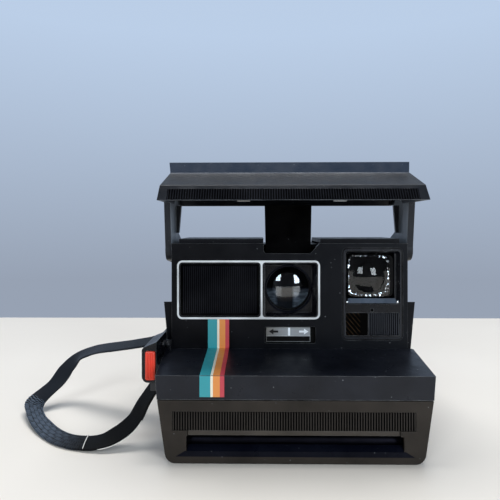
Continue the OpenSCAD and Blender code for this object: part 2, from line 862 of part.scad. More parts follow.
// The hood's front outline, shrunk by inset: a flared lip, a waist at the fold and a wider brow
function hood_outline(inset) = mirrored([
    [hood_half - inset, lip_foot[1] - 2], [hood_half - inset, lip_foot[1]],
    [60 - inset, lip_top[1]], [58.6 - inset, fold[1]], [59.6 - inset, brow[1]], [59.6 - inset, brow[1] + 2]
]);

module hood_cover() {
    color([0.09, 0.1, 0.12])
    difference() {
        intersection() {
            side_prism(hood_outer_side, -70, 70);
            front_prism(hood_outline(0), -80, 10);
        }
        intersection() {
            side_prism(hood_inner_side, -70, 70);
            front_prism(hood_outline(1.9), -80, 10);
        }
        // the two seats for the arms
        for (side = [-1, 1])
            side_prism(arm_head(0.05), side > 0 ? 58.9 : -70, side > 0 ? 70 : -58.9);
        // the end walls stay clear of the casing as the hood comes down
        intersection() {
            bar_x(-58.9, 58.9, pivot_y, pivot_z, clear_r);
            side_prism([[-50, 100], [rear_edge[0] - 4.6, 100], [rear_edge[0] - 4.6, 113],
                [-14, 124], [-50, 124]], -70, 70);
        }
    }
}

module hood_liner() {
    color([0.12, 0.12, 0.13])
    difference() {
        side_prism([
            [-61.6, 113.4], [-58.9, 116.9], [-40.4, 124.4], [-37.4, 125.4],
            [-36.4, 124], [-39.6, 122.9], [-57.8, 115.6], [-60.4, 112.6]
        ], -56, 56);
        for (x = [-30, 30])
            translate([x, -50, 100])
                cylinder(h = 40, r = 1.2);
    }
}

// Side outline of an arm's head, where it is let into the hood's end, grown by grow
function arm_head(grow) = [
    [-39.7 - grow, 111.9], [-39.7 - grow, 119.6 + grow], [-36, 120.6 + grow],
    [-20, 120.6 + grow], [-14 + grow, 111.9]
];

// Side outline of an arm: from the hood's end down to a rounded foot and back to the pivot
arm_side = concat(
    [[-14, 112], [-20, 120.6], [-36, 120.6], [-39.7, 119.6], [-39.5, 112], [-36.2, 90]],
    arc(-31, 88.2, 5.3, 180, 262, 6),
    arc(pivot_y, pivot_z, 7, 262, 425, 12),
    [[-14, 97], [-20.5, 99.5]]
);

module hood_arm(side) {
    difference() {
        union() {
            side_prism(arm_side, side > 0 ? 59 : -62.3, side > 0 ? 62.3 : -59);
            bar_x(side > 0 ? 55.4 : -59.1, side > 0 ? 59.1 : -55.4, pivot_y, pivot_z, 6);
            // inward flange, tapering down
            intersection() {
                side_prism([[-23.9, 111.4], [-23.4, 97], [-21.4, 97], [-21.9, 111.4]],
                    side > 0 ? 50 : -59.1, side > 0 ? 59.1 : -50);
                front_prism([[side * 55.9, 112], [side * 57.3, 96], [side * 60, 96], [side * 60, 112]], -40, 0);
            }
        }
        bar_x(-70, 70, pivot_y, pivot_z, pivot_r + running);
    }
}

module hood_arm_left() {
    color([0.08, 0.085, 0.09])
        hood_arm(-1);
}

module hood_arm_right() {
    color([0.08, 0.085, 0.09])
        hood_arm(1);
}

module hood_pivots() {
    color([0.1, 0.1, 0.1])
        for (side = [-1, 1])
            union() {
                bar_x(side > 0 ? 52.4 : -62.6, side > 0 ? 62.6 : -52.4, pivot_y, pivot_z, pivot_r);
                bar_x(side > 0 ? 62.5 : -63.6, side > 0 ? 63.6 : -62.5, pivot_y, pivot_z, 4.6);
                bar_x(side > 0 ? 51.2 : -52.8, side > 0 ? 52.8 : -51.2, pivot_y, pivot_z, 4);
            }
}

module lens_door() {
    color([0.06, 0.06, 0.065])
        front_prism([[-11.4, 80.6], [11.4, 80.6], [12, 111.4], [-12, 111.4]], door_y[0], door_y[1]);
}

// ---------------------------------------------------------------- trim

stripe_x = [-40.3, -29.8];
stripe_t = 0.2;

module stripe_decal() {
    color([0.85, 0.6, 0.2])
    union() {
        box([stripe_x[0], panel_y - stripe_t, shelf_z], [stripe_x[1], panel_y, frame_box[1] - 0.1]);
        side_prism([[front_y - stripe_t, nose_z], [panel_y, shelf_z],
            [panel_y, shelf_z + stripe_t], [front_y - stripe_t, nose_z + stripe_t]], stripe_x[0], stripe_x[1]);
        box([stripe_x[0], front_y - stripe_t, 28.2], [stripe_x[1], front_y, nose_z + stripe_t]);
    }
}

module case_screws() {
    color([0.5, 0.5, 0.5])
        for (p = screw_places)
            translate([p[0], p[1], 0.3])
                difference() {
                    cylinder(h = 1.1, r = 2.7);
                    for (a = [0, 90])
                        rotate(a)
                            translate([-1.6, -0.25, -1])
                                cube([3.2, 0.5, 1.6]);
                }
}

// ---------------------------------------------------------------- strap

// The route of the webbing: out of the rear lug, down to the ground and up to the front lug.
// The fourth number is the angle by which the webbing's outer edge is raised, in degrees.
strap_route = [
    [-63, -25.5, 43.2, 16], [-73, -23, 39.3, 19], [-83, -19.5, 36.8, 20], [-92.5, -15, 34.5, 21],
    [-102, -10, 32.2, 22], [-110, -6, 29.6, 26], [-118, -3.5, 25.9, 28], [-124, -5.5, 20.1, 26],
    [-128.5, -10.5, 12.9, 18], [-136, -19.5, 5.2, 24], [-131.5, -29, 2.7, 22], [-124, -39, 1.8, 8],
    [-115, -48.5, 1.1, 0], [-105, -56.5, 1.4, -5], [-95, -60.5, 1.9, -13], [-86, -62, 3.4, -20],
    [-78.5, -60.5, 6.6, -26], [-72.5, -58.5, 11.5, -24], [-68, -57, 19.5, -24], [-62.5, -56, 28, -23]
];
strap_steps = 3;

function spline(a, b, c, d, t) =
    0.5 * (2 * b + (c - a) * t + (2 * a - 5 * b + 4 * c - d) * t * t + (3 * b - a - 3 * c + d) * t * t * t);

function strap_point(i, t) =
    let (n = len(strap_route) - 1)
    spline(strap_route[max(i - 1, 0)], strap_route[i], strap_route[min(i + 1, n)], strap_route[min(i + 2, n)], t);

strap_line = concat(
    [for (i = [0:len(strap_route) - 2], k = [0:strap_steps - 1]) strap_point(i, k / strap_steps)],
    [strap_route[len(strap_route) - 1]]
);

function unit(v) = v / norm(v);
function place(i) = [for (k = [0:2]) strap_line[i][k]];

// Direction of the webbing at step i
function web_along(i) =
    let (n = len(strap_line) - 1)
    unit(place(min(i + 1, n)) - place(max(i - 1, 0)));

// The webbing's width direction at step i, turned from level by its angle
function web_side(i) =
    let (level = unit(cross(web_along(i), [0, 0, 1])))
    let (tilt = strap_line[i][3])
    level * cos(tilt) + cross(level, web_along(i)) * sin(tilt);

// Half outline of the webbing's cross-section, as shares of its half width and half thickness
web_section = [[-1, -0.5], [-0.92, -1], [0.92, -1], [1, -0.5]];

// One flat ring of eight points across the webbing at step i
function web_ring(i) =
    let (across = web_side(i) * web_w / 2)
    let (face = cross(web_along(i), web_side(i)) * web_t / 2)
    [for (turn = [1, -1], p = web_section) place(i) + (across * p[0] + face * p[1]) * turn];

module strap() {
    rings = [for (i = [0:len(strap_line) - 1]) web_ring(i)];
    last = len(rings) - 1;
    color([0.03, 0.03, 0.035])
        polyhedron(
            points = [for (r = rings, p = r) p],
            faces = concat(
                [[0, 1, 2, 3, 4, 5, 6, 7]],
                [for (i = [0:last - 1], k = [0:7])
                    [i * 8 + k, (i + 1) * 8 + k, (i + 1) * 8 + (k + 1) % 8, i * 8 + (k + 1) % 8]],
                [[for (k = [7:-1:0]) last * 8 + k]]
            )
        );
}

module strap_lug_rear() {
    color([0.05, 0.05, 0.05])
    difference() {
        box([-64.6, -30.6, 39.4], [-58, -20.6, 46]);
        front_prism(casing_outline(0), -50, 0);
    }
}

module strap_lug_front() {
    color([0.05, 0.05, 0.05])
    difference() {
        box([-64.4, -60.6, 25.6], [-58.9, -51, 29.75]);
        front_prism(nose_rear(0), -70, -40);
    }
}

// ---------------------------------------------------------------- drawing

base_shell();
rear_housing();
shelf_cover();
front_panel();
lens_frame();
name_panel();
lens_funnel();
lens_barrel();
taking_lens();
shutter_plate();
shutter_blade_left();
shutter_blade_right();
solenoid();
viewfinder_surround();
viewfinder_lens();
viewfinder_tube();
eyepiece();
sensor_window();
sensor_grille();
photocell();
slider_track();
exposure_slider();
button_housing();
shutter_button();
button_spring();
mirror();
mirror_carrier();
exposure_chamber();
circuit_board();
motor();
motor_pinion();
drive_gear();
drive_gear_stud();
film_pack();
film_sheets();
pack_spring();
pack_battery();
counter_wheel();
counter_window();
film_door();
door_band();
roller_frame();
upper_roller();
lower_roller();
upper_roller_gear();
lower_roller_gear();
hinge_pins();
door_latch();
hood_cover();
hood_liner();
hood_arm_left();
hood_arm_right();
hood_pivots();
lens_door();
stripe_decal();
strap_lug_front();
strap_lug_rear();
strap();
case_screws();
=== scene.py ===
"""Looks of a box-type instant camera with a raised hood, a film door and a webbing hand strap.

X is to the right of a person facing the lens, Y from the front to the back, Z up. Pieces and
finishes are given in millimetres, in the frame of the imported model; the studio is in metres. Each
sub-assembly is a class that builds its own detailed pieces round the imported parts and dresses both.
"""

import json
import logging
import math
import random
from collections.abc import Callable, Iterable, Sequence
from dataclasses import dataclass, field
from enum import Enum

import bmesh
import bpy
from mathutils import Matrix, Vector

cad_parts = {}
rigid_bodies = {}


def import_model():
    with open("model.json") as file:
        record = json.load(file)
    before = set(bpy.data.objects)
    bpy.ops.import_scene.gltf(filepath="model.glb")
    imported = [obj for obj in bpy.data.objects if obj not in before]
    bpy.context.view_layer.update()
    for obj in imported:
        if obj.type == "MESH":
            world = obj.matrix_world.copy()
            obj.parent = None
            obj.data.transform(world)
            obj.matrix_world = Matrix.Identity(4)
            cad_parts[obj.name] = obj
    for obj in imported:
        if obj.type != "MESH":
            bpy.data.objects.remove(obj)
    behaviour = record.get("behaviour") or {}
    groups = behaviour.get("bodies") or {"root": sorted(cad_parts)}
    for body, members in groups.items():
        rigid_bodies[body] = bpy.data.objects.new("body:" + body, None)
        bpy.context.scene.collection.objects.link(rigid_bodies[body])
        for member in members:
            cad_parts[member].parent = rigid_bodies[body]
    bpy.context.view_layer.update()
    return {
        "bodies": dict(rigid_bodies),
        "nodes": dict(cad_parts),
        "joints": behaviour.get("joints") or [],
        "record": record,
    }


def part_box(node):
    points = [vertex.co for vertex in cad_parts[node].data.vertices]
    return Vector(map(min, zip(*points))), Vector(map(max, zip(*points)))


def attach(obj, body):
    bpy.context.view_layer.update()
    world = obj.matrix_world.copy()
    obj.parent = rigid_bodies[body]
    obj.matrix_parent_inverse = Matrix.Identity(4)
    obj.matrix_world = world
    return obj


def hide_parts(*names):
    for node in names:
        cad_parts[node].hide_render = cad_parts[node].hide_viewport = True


LOG = logging.getLogger("instant_camera")
MM = 0.001
Colour = tuple[float, float, float]
Point = tuple[float, float, float]
Outline = Sequence[tuple[float, float]]
Socket = bpy.types.NodeSocket
Step = tuple[Vector, Vector, Vector, float]

# ---------------------------------------------------------------- shaders


class NodeTree:
    """A tree of shader nodes, with short calls for the nodes that this scene uses."""

    def __init__(self, tree: bpy.types.NodeTree) -> None:
        """Keeps the tree."""
        self.nodes = tree.nodes
        self.links = tree.links

    def feed(self, socket: Socket, value: object) -> None:
        """Joins a socket to another one, or sets its value.

        Args:
            socket: The input.
            value: Another node's output, a number or a colour.
        """
        if isinstance(value, bpy.types.NodeSocket):
            self.links.new(value, socket)
        elif isinstance(value, tuple) and len(value) == 3 and socket.type == "RGBA":
            socket.default_value = (*value, 1.0)
        else:
            socket.default_value = value

    def node(self, kind: str, inputs: dict[str | int, object], **settings: object) -> bpy.types.Node:
        """Adds a node.

        Args:
            kind: The node's kind, without the word Shader before it.
            inputs: The value of each input.
            settings: The node's own settings.

        Returns:
            The node.
        """
        node = self.nodes.new(f"ShaderNode{kind}")
        for name, value in settings.items():
            setattr(node, name, value)
        for name, value in inputs.items():
            self.feed(node.inputs[name], value)
        return node

    def part(self, vector: Socket, axis: str) -> Socket:
        """Gives a vector's X, Y or Z."""
        return self.node("SeparateXYZ", {"Vector": vector}).outputs[axis]

    def span(self, source: Socket, low: float, high: float,
             to: tuple[float, float] = (0.0, 1.0)) -> Socket:
        """Maps a value from low...high to another range, clamped."""
        ends = {"Value": source, "From Min": low, "From Max": high, "To Min": to[0], "To Max": to[1]}
        return self.node("MapRange", ends).outputs["Result"]

    def maths(self, first: Socket, second: object, operation: str = "MULTIPLY") -> Socket:
        """Works out a sum of two values, a product unless another operation is named."""
        return self.node("Math", {0: first, 1: second}, operation=operation).outputs["Value"]

    def blend(self, share: object, first: object, second: object) -> Socket:
        """Mixes two colours by the share of the second one."""
        colours = {"Factor": share, "A": first, "B": second}
        return self.node("Mix", colours, data_type="RGBA").outputs["Result"]


class Shader(NodeTree):
    """A material's node tree, in millimetres."""

    def __init__(self, name: str) -> None:
        """Starts a material.

        Args:
            name: The material's name.
        """
        self.material = bpy.data.materials.new(name)
        self.material.use_nodes = True
        super().__init__(self.material.node_tree)
        self.surface = self.nodes["Principled BSDF"]
        metres = self.node("TexCoord", {}).outputs["Object"]
        self.place = self.node("Mapping", {"Vector": metres, "Scale": (1 / MM,) * 3}).outputs["Vector"]

    def noise(self, size: float, detail: float = 3.0, stretch: Point = (1.0, 1.0, 1.0)) -> Socket:
        """Adds soft noise with blotches of a size, finer layers and a stretch along each axis."""
        spread = self.node("Mapping", {"Vector": self.place, "Scale": stretch}).outputs["Vector"]
        inputs = {"Vector": spread, "Scale": 1 / size, "Detail": detail}
        return self.node("TexNoise", inputs).outputs["Fac"]

    def axis(self, name: str) -> Socket:
        """Gives the place along X, Y or Z."""
        return self.part(self.place, name)

    def cells(self, size: float) -> Socket:
        """Adds scattered cells of a size, and gives the distance from each one's middle."""
        return self.node("TexVoronoi", {"Vector": self.place, "Scale": 1 / size}).outputs["Distance"]

    def wave(self, pitch: float, axis: str) -> Socket:
        """Adds an even wave along an axis, from 0 to 1."""
        inputs = {"Vector": self.place, "Scale": math.pi / (10 * pitch)}
        return self.node("TexWave", inputs, bands_direction=axis).outputs["Fac"]

    def apart(self, axis: str, middle: float) -> Socket:
        """Gives the distance from a place along an axis."""
        return self.maths(self.maths(self.axis(axis), middle, "SUBTRACT"), 1.0, "ABSOLUTE")

    def edges(self, radius: float) -> Socket:
        """Finds the outer edges of a piece.

        Args:
            radius: How far from the edge the mask reaches.

        Returns:
            1 on an edge, 0 away from it.
        """
        rounded = self.node("Bevel", {"Radius": radius * MM}, samples=4).outputs["Normal"]
        true = self.node("NewGeometry", {}).outputs["Normal"]
        turned = self.node("VectorMath", {0: rounded, 1: true}, operation="DOT_PRODUCT")
        return self.span(turned.outputs["Value"], 0.99, 0.80)

    def relief(self, height: Socket, depth: float, strength: float = 1.0) -> None:
        """Adds a bump to the surface.

        Args:
            height: The bump's height, from 0 to 1.
            depth: The height of 1.
            strength: How strongly it shows.
        """
        bump = self.node("Bump", {"Distance": depth * MM, "Strength": strength, "Height": height})
        self.dress(Normal=bump.outputs["Normal"])

    def dress(self, **sockets: object) -> None:
        """Sets the surface's sockets, whose names are given with _ for a space."""
        for name, value in sockets.items():
            self.feed(self.surface.inputs[name.replace("_", " ")], value)


class Finish:
    """A finish that gives one Blender material, made once."""

    name: str

    def paint(self, look: Shader) -> None:
        """Sets the look of a new material."""
        raise NotImplementedError

    def material(self) -> bpy.types.Material:
        """Gives the material, which is made the first time.

        Returns:
            The material.
        """
        made = bpy.data.materials.get(self.name)
        if made is None:
            look = Shader(self.name)
            self.paint(look)
            made = look.material
        return made


@dataclass(frozen=True)
class MouldedPlastic(Finish):
    """Moulded plastic with a fine grain, smudges, a few dust specks and lighter edges, which are part real
    rubbing and part painted highlight.

    A painted light ramp blends towards another colour between two places along an axis: painted shade at
    one end and painted light at the other. The lit inner colour is painted light on faces which look
    towards the camera body's middle plane.
    """

    name: str
    colour: Colour
    roughness: float = 0.45
    grain: float = 0.5
    # The edge lightening is part real rubbing and part a painted highlight along the moulded edges.
    edge_wear_and_highlight: float = 0.35
    highlight_and_wear_colour: Colour = (0.20, 0.21, 0.22)
    dust: float = 0.35
    gloss: float = 0.5
    painted_light_ramp: tuple[str, float, float, Colour] | None = None
    lit_inner: Colour | None = None

    def paint(self, look: Shader) -> None:
        """Sets the look of a new material.

        Args:
            look: The material's shader.
        """
        cloud = look.noise(18, 4.0)
        smudge = look.noise(5, 5.0, (1.0, 1.0, 0.6))
        grain = look.noise(0.45, 2.0)
        lighter = tuple(1.35 * c + 0.004 for c in self.colour)
        darker = tuple(0.72 * c for c in self.colour)
        base = look.blend(look.span(cloud, 0.3, 0.7), darker, lighter)
        # Painted light: a ramp towards a lighter colour along an axis, where more light falls.
        if self.painted_light_ramp is not None:
            axis, low, high, far = self.painted_light_ramp
            base = look.blend(look.span(look.axis(axis), low, high), base, far)
        # Painted light: faces turned towards the middle plane take a much lighter colour.
        if self.lit_inner is not None:
            facing = look.part(look.node("NewGeometry", {}).outputs["Normal"], "X")
            base = look.blend(look.span(look.maths(look.axis("X"), facing), -20, -40), base, self.lit_inner)
        few = look.span(look.noise(7, 2.0), 0.52, 0.62)
        speck = look.maths(look.span(look.cells(2.6), 0.10, 0.05), few)
        base = look.blend(look.maths(speck, self.dust), base, (0.45, 0.47, 0.50))
        # Edges lightened towards the edge colour: part real rubbing, part painted edge highlight.
        worn_and_lit_edges = look.maths(look.edges(0.45), look.span(smudge, 0.38, 0.66, (0.25, 1.0)))
        base = look.blend(look.maths(worn_and_lit_edges, self.edge_wear_and_highlight), base, self.highlight_and_wear_colour)
        uneven = look.maths(look.span(smudge, 0.3, 0.7, (-0.07, 0.10)), self.roughness, "ADD")
        rough = look.maths(uneven, look.span(grain, 0.3, 0.7, (-0.03, 0.03)), "ADD")
        look.dress(Base_Color=base, Roughness=rough, Specular_IOR_Level=self.gloss)
        look.relief(grain, 0.05, self.grain)


@dataclass(frozen=True)
class ClearGlass(Finish):
    """Clear glass or clear moulded plastic with faint wipe marks.

    A mirror is the share of a bright coating, which an upright column given by its middle and half
    width goes without.
    """

    name: str
    tint: Colour = (1.0, 1.0, 1.0)
    ior: float = 1.5
    mirror: float = 0.0
    bare: tuple[float, float] = (0.0, 0.0)

    def paint(self, look: Shader) -> None:
        """Sets the look of a new material.

        Args:
            look: The material's shader.
        """
        wipe = look.span(look.noise(3, 4.0, (1.0, 0.3, 1.0)), 0.45, 0.75, (0.01, 0.05))
        look.dress(Base_Color=self.tint, Roughness=wipe, IOR=self.ior, Transmission_Weight=1.0)
        middle, half = self.bare
        if half > 0:
            away = look.span(look.apart("X", middle), half, half + 0.5, (0.1, 1.0))
            look.dress(Metallic=look.maths(away, self.mirror))
        look.relief(look.noise(1.2, 2.0), 0.004, 0.3)


@dataclass(frozen=True)
class ReflectionBacking(Finish):
    """The lens's rear face, coloured as a painted reflection: dark above the axis, paler below it, paler
    fans at both sides and a brown patch below the axis.
    """

    name: str
    axis_z: float = 68.6
    middle: float = -1.2
    half: float = 3.4
    reflection_top: float = 67.9
    reflection_foot: float = 62.6

    def paint(self, look: Shader) -> None:
        """Sets the look of a new material.

        Args:
            look: The material's shader.
        """
        height = look.axis("Z")
        # Painted reflection: a brown patch in an upright column below the axis.
        across = look.span(look.apart("X", self.middle), self.half + 1.0, self.half - 1.0)
        under = look.span(height, self.reflection_top + 0.3, self.reflection_top)
        under = look.maths(under, look.span(height, self.reflection_foot - 1.5, self.reflection_foot + 1.0))
        patch = look.maths(look.maths(across, under), look.span(look.noise(2), 0.3, 0.7, (0.6, 1.0)))
        # Painted reflection: paler below the axis and darker above it, with paler grey fans at both sides
        # below it.
        base = look.span(height, self.axis_z - 1, self.axis_z)
        base = look.blend(base, (0.016, 0.019, 0.025), (0.0012, 0.0016, 0.0040))
        beside = look.span(look.apart("X", self.middle), self.half, self.half + 1.5)
        painted_side_reflections = look.maths(beside, look.span(height, self.axis_z - 0.5, self.axis_z - 3))
        streaks = look.span(look.noise(1.6, 2.0, (0.4, 1.0, 1.6)), 0.35, 0.65, (0.35, 1.0))
        base = look.blend(look.maths(painted_side_reflections, streaks), base, (0.32, 0.38, 0.46))
        base = look.blend(patch, base, (0.060, 0.043, 0.032))
        look.dress(Base_Color=base, Roughness=0.6, Specular_IOR_Level=0.1)


@dataclass(frozen=True)
class TintedWindow(Finish):
    """A nearly black window with faint brown slanting lines on its left part, which are a painted
    reflection.
    """

    name: str
    bare_x: float = 35.2
    pitch: float = 2.2
    slant: float = 0.85

    def paint(self, look: Shader) -> None:
        """Sets the look of a new material.

        Args:
            look: The material's shader.
        """
        # Painted reflection: faint brown slanting lines on the window's left part.
        along = look.maths(look.axis("X"), look.maths(look.axis("Z"), self.slant), "ADD")
        comb = look.maths(look.maths(along, 1 / self.pitch), 1.0, "FRACT")
        thin = look.span(look.maths(look.maths(comb, 0.5, "SUBTRACT"), 1.0, "ABSOLUTE"), 0.16, 0.06)
        left = look.span(look.axis("X"), self.bare_x, self.bare_x - 0.4)
        lines = look.maths(look.maths(thin, left), look.span(look.noise(3), 0.40, 0.62, (0.25, 1.0)))
        base = look.blend(lines, (0.0004, 0.0003, 0.0004), (0.030, 0.016, 0.007))
        look.dress(Base_Color=base, Roughness=0.15, Specular_IOR_Level=0.02)


@dataclass(frozen=True)
class Metal(Finish):
    """Plain, brushed or silvered metal."""

    name: str
    colour: Colour
    roughness: float = 0.3
    brushed: Point = (1.0, 1.0, 1.0)

    def paint(self, look: Shader) -> None:
        """Sets the look of a new material.

        Args:
            look: The material's shader.
        """
        lines = look.noise(0.6, 4.0, self.brushed)
        dull = tuple(0.72 * c for c in self.colour)
        base = look.blend(look.span(look.noise(6, 3.0), 0.35, 0.75), self.colour, dull)
        rough = look.span(lines, 0.3, 0.7, (0.7 * self.roughness, 1.3 * self.roughness))
        look.dress(Base_Color=base, Roughness=rough, Metallic=1.0)
        look.relief(lines, 0.01, 0.3)


@dataclass(frozen=True)
class Laminate(Finish):
    """Printed card, film or circuit board: a base with fine regular marks."""

    name: str
    colour: Colour
    mark: Colour
    pitch: float = 2.5
    roughness: float = 0.6

    def paint(self, look: Shader) -> None:
        """Sets the look of a new material.

        Args:
            look: The material's shader.
        """
        tracks = look.maths(look.wave(self.pitch, "X"), look.span(look.noise(4), 0.45, 0.6))
        base = look.blend(look.span(tracks, 0.35, 0.6), self.colour, self.mark)
        look.dress(Base_Color=base, Roughness=self.roughness)
        look.relief(look.noise(0.5, 2.0), 0.02, 0.4)


@dataclass(frozen=True)
class Sticker(Finish):
    """A satin printed sticker in one colour, with a rubbed look."""

    name: str
    colour: Colour

    def paint(self, look: Shader) -> None:
        """Sets the look of a new material.

        Args:
            look: The material's shader.
        """
        rubbed = look.span(look.noise(1.6, 5.0, (1.0, 1.0, 0.4)), 0.60, 0.78, (0.0, 0.35))
        faded = tuple(0.8 * c + 0.03 for c in self.colour)
        rough = look.span(look.noise(3), 0.3, 0.7, (0.34, 0.5))
        look.dress(Base_Color=look.blend(rubbed, self.colour, faded), Roughness=rough)
        look.relief(look.noise(0.3, 2.0), 0.01, 0.3)


@dataclass(frozen=True)
class Webbing(Finish):
    """Woven nylon webbing with a soft sheen, fine threads, and edges and crests lightened part by dust and
    part as a painted highlight.

    It is darker towards the second of two places along X, if they are given.
    """

    name: str
    colour: Colour
    dust_and_highlight: Colour
    sheen: float
    dark_x: tuple[float, float] | None = None

    def paint(self, look: Shader) -> None:
        """Sets the look of a new material.

        Args:
            look: The material's shader.
        """
        thread = look.noise(0.22, 2.0)
        # Part dust, part painted highlight: edges and crests lightened towards the second colour.
        crest = look.span(look.edges(0.25), 0.0, 1.0, (0.0, 0.7))
        patch = look.span(look.noise(8, 3.0), 0.3, 0.7, (0.4, 1.0))
        base = look.blend(look.maths(crest, patch), self.colour, self.dust_and_highlight)
        base = look.blend(look.span(thread, 0.55, 0.75, (0.0, 0.3)), base, self.dust_and_highlight)
        if self.dark_x is not None:
            base = look.blend(look.span(look.axis("X"), *self.dark_x), base, (0.008, 0.0095, 0.013))
        look.dress(
            Base_Color=base,
            Roughness=look.span(thread, 0.3, 0.7, (0.5, 0.68)),
            Specular_IOR_Level=0.12,
            Sheen_Weight=self.sheen,
            Sheen_Roughness=0.4,
            Sheen_Tint=(0.62, 0.68, 0.8),
        )
        look.relief(thread, 0.06, 0.7)


# ---------------------------------------------------------------- finishes

CASING = MouldedPlastic("casing_plastic", (0.0016, 0.0020, 0.0042), 0.40, 0.55, edge_wear_and_highlight=0.6, dust=0.6,
                        gloss=0.10)
# The panel's ramp is painted shade on its left side and painted light on its right.
PANEL = MouldedPlastic("panel_plastic", (0.0003, 0.0006, 0.0020), 0.36, 0.55, edge_wear_and_highlight=0.7, dust=0.7,
                       gloss=0.10, painted_light_ramp=("X", -40, 50, (0.0042, 0.0052, 0.0078)))
SHELF = MouldedPlastic("shelf_plastic", (0.0048, 0.0062, 0.0112), 0.34, 0.6, edge_wear_and_highlight=1.0, dust=0.9, gloss=0.26)
# The hood's ramp is a painted highlight along the top of its crown.
HOOD = MouldedPlastic("hood_plastic", (0.0050, 0.0066, 0.0105), 0.36, 0.6, edge_wear_and_highlight=0.8, gloss=0.3,
                      painted_light_ramp=("Z", 125.8, 126.8, (0.0200, 0.0300, 0.0500)))
DOOR = MouldedPlastic("door_plastic", (0.0185, 0.0142, 0.0108), 0.46, 0.55, highlight_and_wear_colour=(0.15, 0.14, 0.13),
                      gloss=0.22)
SATIN = MouldedPlastic("satin_black_plastic", (0.0008, 0.0012, 0.0034), 0.28, 0.25, edge_wear_and_highlight=0.8, dust=0.3,
                       gloss=0.22)
# The arms' inner walls take a much lighter colour as painted light.
ARM = MouldedPlastic("arm_plastic", (0.0060, 0.0080, 0.0130), 0.40, 0.4, edge_wear_and_highlight=0.4, gloss=0.25,
                     lit_inner=(0.1900, 0.2200, 0.2600))
GLOSSY = MouldedPlastic("glossy_lip_plastic", (0.0006, 0.0013, 0.0052), 0.30, 0.12, edge_wear_and_highlight=0.0, dust=0.3,
                        gloss=0.08)
# Painted highlight: a lighter colour for rib crests and the surround's bead than the black plastic they
# belong to.
LIT_CREST = MouldedPlastic("rib_crest_plastic", (0.0150, 0.0180, 0.0260), 0.34, 0.2, edge_wear_and_highlight=0.0, dust=0.1,
                       gloss=0.26)
DARK_CREST = MouldedPlastic("dark_rib_crest_plastic", (0.0085, 0.0092, 0.0125), 0.24, 0.2, edge_wear_and_highlight=0.0,
                            dust=0.05, gloss=0.02)
# Painted shade: the near-black colour of rib grooves, gaps and holes, where shade falls.
SHADED_GROOVE = MouldedPlastic("rib_groove_painted_shade", (0.0004, 0.0004, 0.0006), 0.7, 0.1, edge_wear_and_highlight=0.0, dust=0.05,
                        gloss=0.0)
BAND = MouldedPlastic("door_band_plastic", (0.0185, 0.0148, 0.0120), 0.42, 0.3, edge_wear_and_highlight=0.02, dust=0.1,
                      gloss=0.22)
STRIP = MouldedPlastic("door_strip_plastic", (0.0350, 0.0280, 0.0220), 0.42, 0.3, edge_wear_and_highlight=0.3, dust=0.3,
                       gloss=0.35)
INNER = MouldedPlastic("inner_black_plastic", (0.0012, 0.0012, 0.0014), 0.7, 0.4, edge_wear_and_highlight=0.0, dust=0.05,
                       gloss=0.1)
STRUT = MouldedPlastic("strut_black_plastic", (0.0001, 0.0001, 0.0003), 0.40, 0.2, edge_wear_and_highlight=0.10, dust=0.1,
                       gloss=0.0)
WORN = MouldedPlastic("worn_lug_plastic", (0.008, 0.009, 0.012), 0.5, 0.9, edge_wear_and_highlight=0.35,
                      highlight_and_wear_colour=(0.20, 0.21, 0.22))
LINE = MouldedPlastic("frame_line_grey", (0.60, 0.63, 0.65), 0.42, 0.2, edge_wear_and_highlight=0.2,
                      highlight_and_wear_colour=(0.85, 0.85, 0.85), dust=0.1)
RED = MouldedPlastic("button_red_plastic", (0.78, 0.050, 0.022), 0.34, 0.2, edge_wear_and_highlight=0.3,
                     highlight_and_wear_colour=(0.95, 0.30, 0.2), dust=0.1)
# The slider plate's ramp is painted shade on its left part and painted light on its right.
GREY = MouldedPlastic("slider_grey_plastic", (0.16, 0.155, 0.145), 0.36, 0.2, edge_wear_and_highlight=0.6,
                      highlight_and_wear_colour=(0.85, 0.88, 0.9), painted_light_ramp=("X", -11, -1, (0.28, 0.30, 0.32)))
ACETAL = MouldedPlastic("natural_acetal", (0.72, 0.68, 0.56), 0.45, 0.2, edge_wear_and_highlight=0.1,
                        highlight_and_wear_colour=(0.9, 0.9, 0.85))
PACK = MouldedPlastic("pack_black_plastic", (0.014, 0.014, 0.015), 0.55, 0.5)
WHITE = MouldedPlastic("counter_white_plastic", (0.72, 0.72, 0.70), 0.45, 0.2, edge_wear_and_highlight=0.1,
                       highlight_and_wear_colour=(0.9, 0.9, 0.9))
INK = MouldedPlastic("black_ink", (0.004, 0.004, 0.005), 0.5, 0.1, edge_wear_and_highlight=0.0, dust=0.0, gloss=0.2)
CHALK = MouldedPlastic("white_ink", (0.85, 0.90, 0.95), 0.5, 0.1, edge_wear_and_highlight=0.0, dust=0.0)
LENS_GLASS = ClearGlass("coated_lens_glass", (0.80, 0.87, 0.95), 1.68, 0.09, (-0.4, 2.6))
# The lens backing's colour is a painted reflection.
LENS_REFLECTION_BACKING = ReflectionBacking("lens_backing_painted_reflection")
BLOCK = ClearGlass("finder_clear_block", (0.80, 0.84, 0.90), 1.49)
SMOKED = TintedWindow("smoked_window")
PANE = ClearGlass("clear_pane", (0.85, 0.88, 0.92), 1.49)
# Painted light: a navy colour for the black surround's slanted sill, lit by the blue backdrop.
LIT_SILL = MouldedPlastic("sill_painted_blue_light", (0.0800, 0.1020, 0.1380), 0.3, 0.2, edge_wear_and_highlight=0.3, dust=0.1)
STEEL = Metal("bright_steel", (0.56, 0.56, 0.57), 0.28, (0.08, 1.0, 1.0))
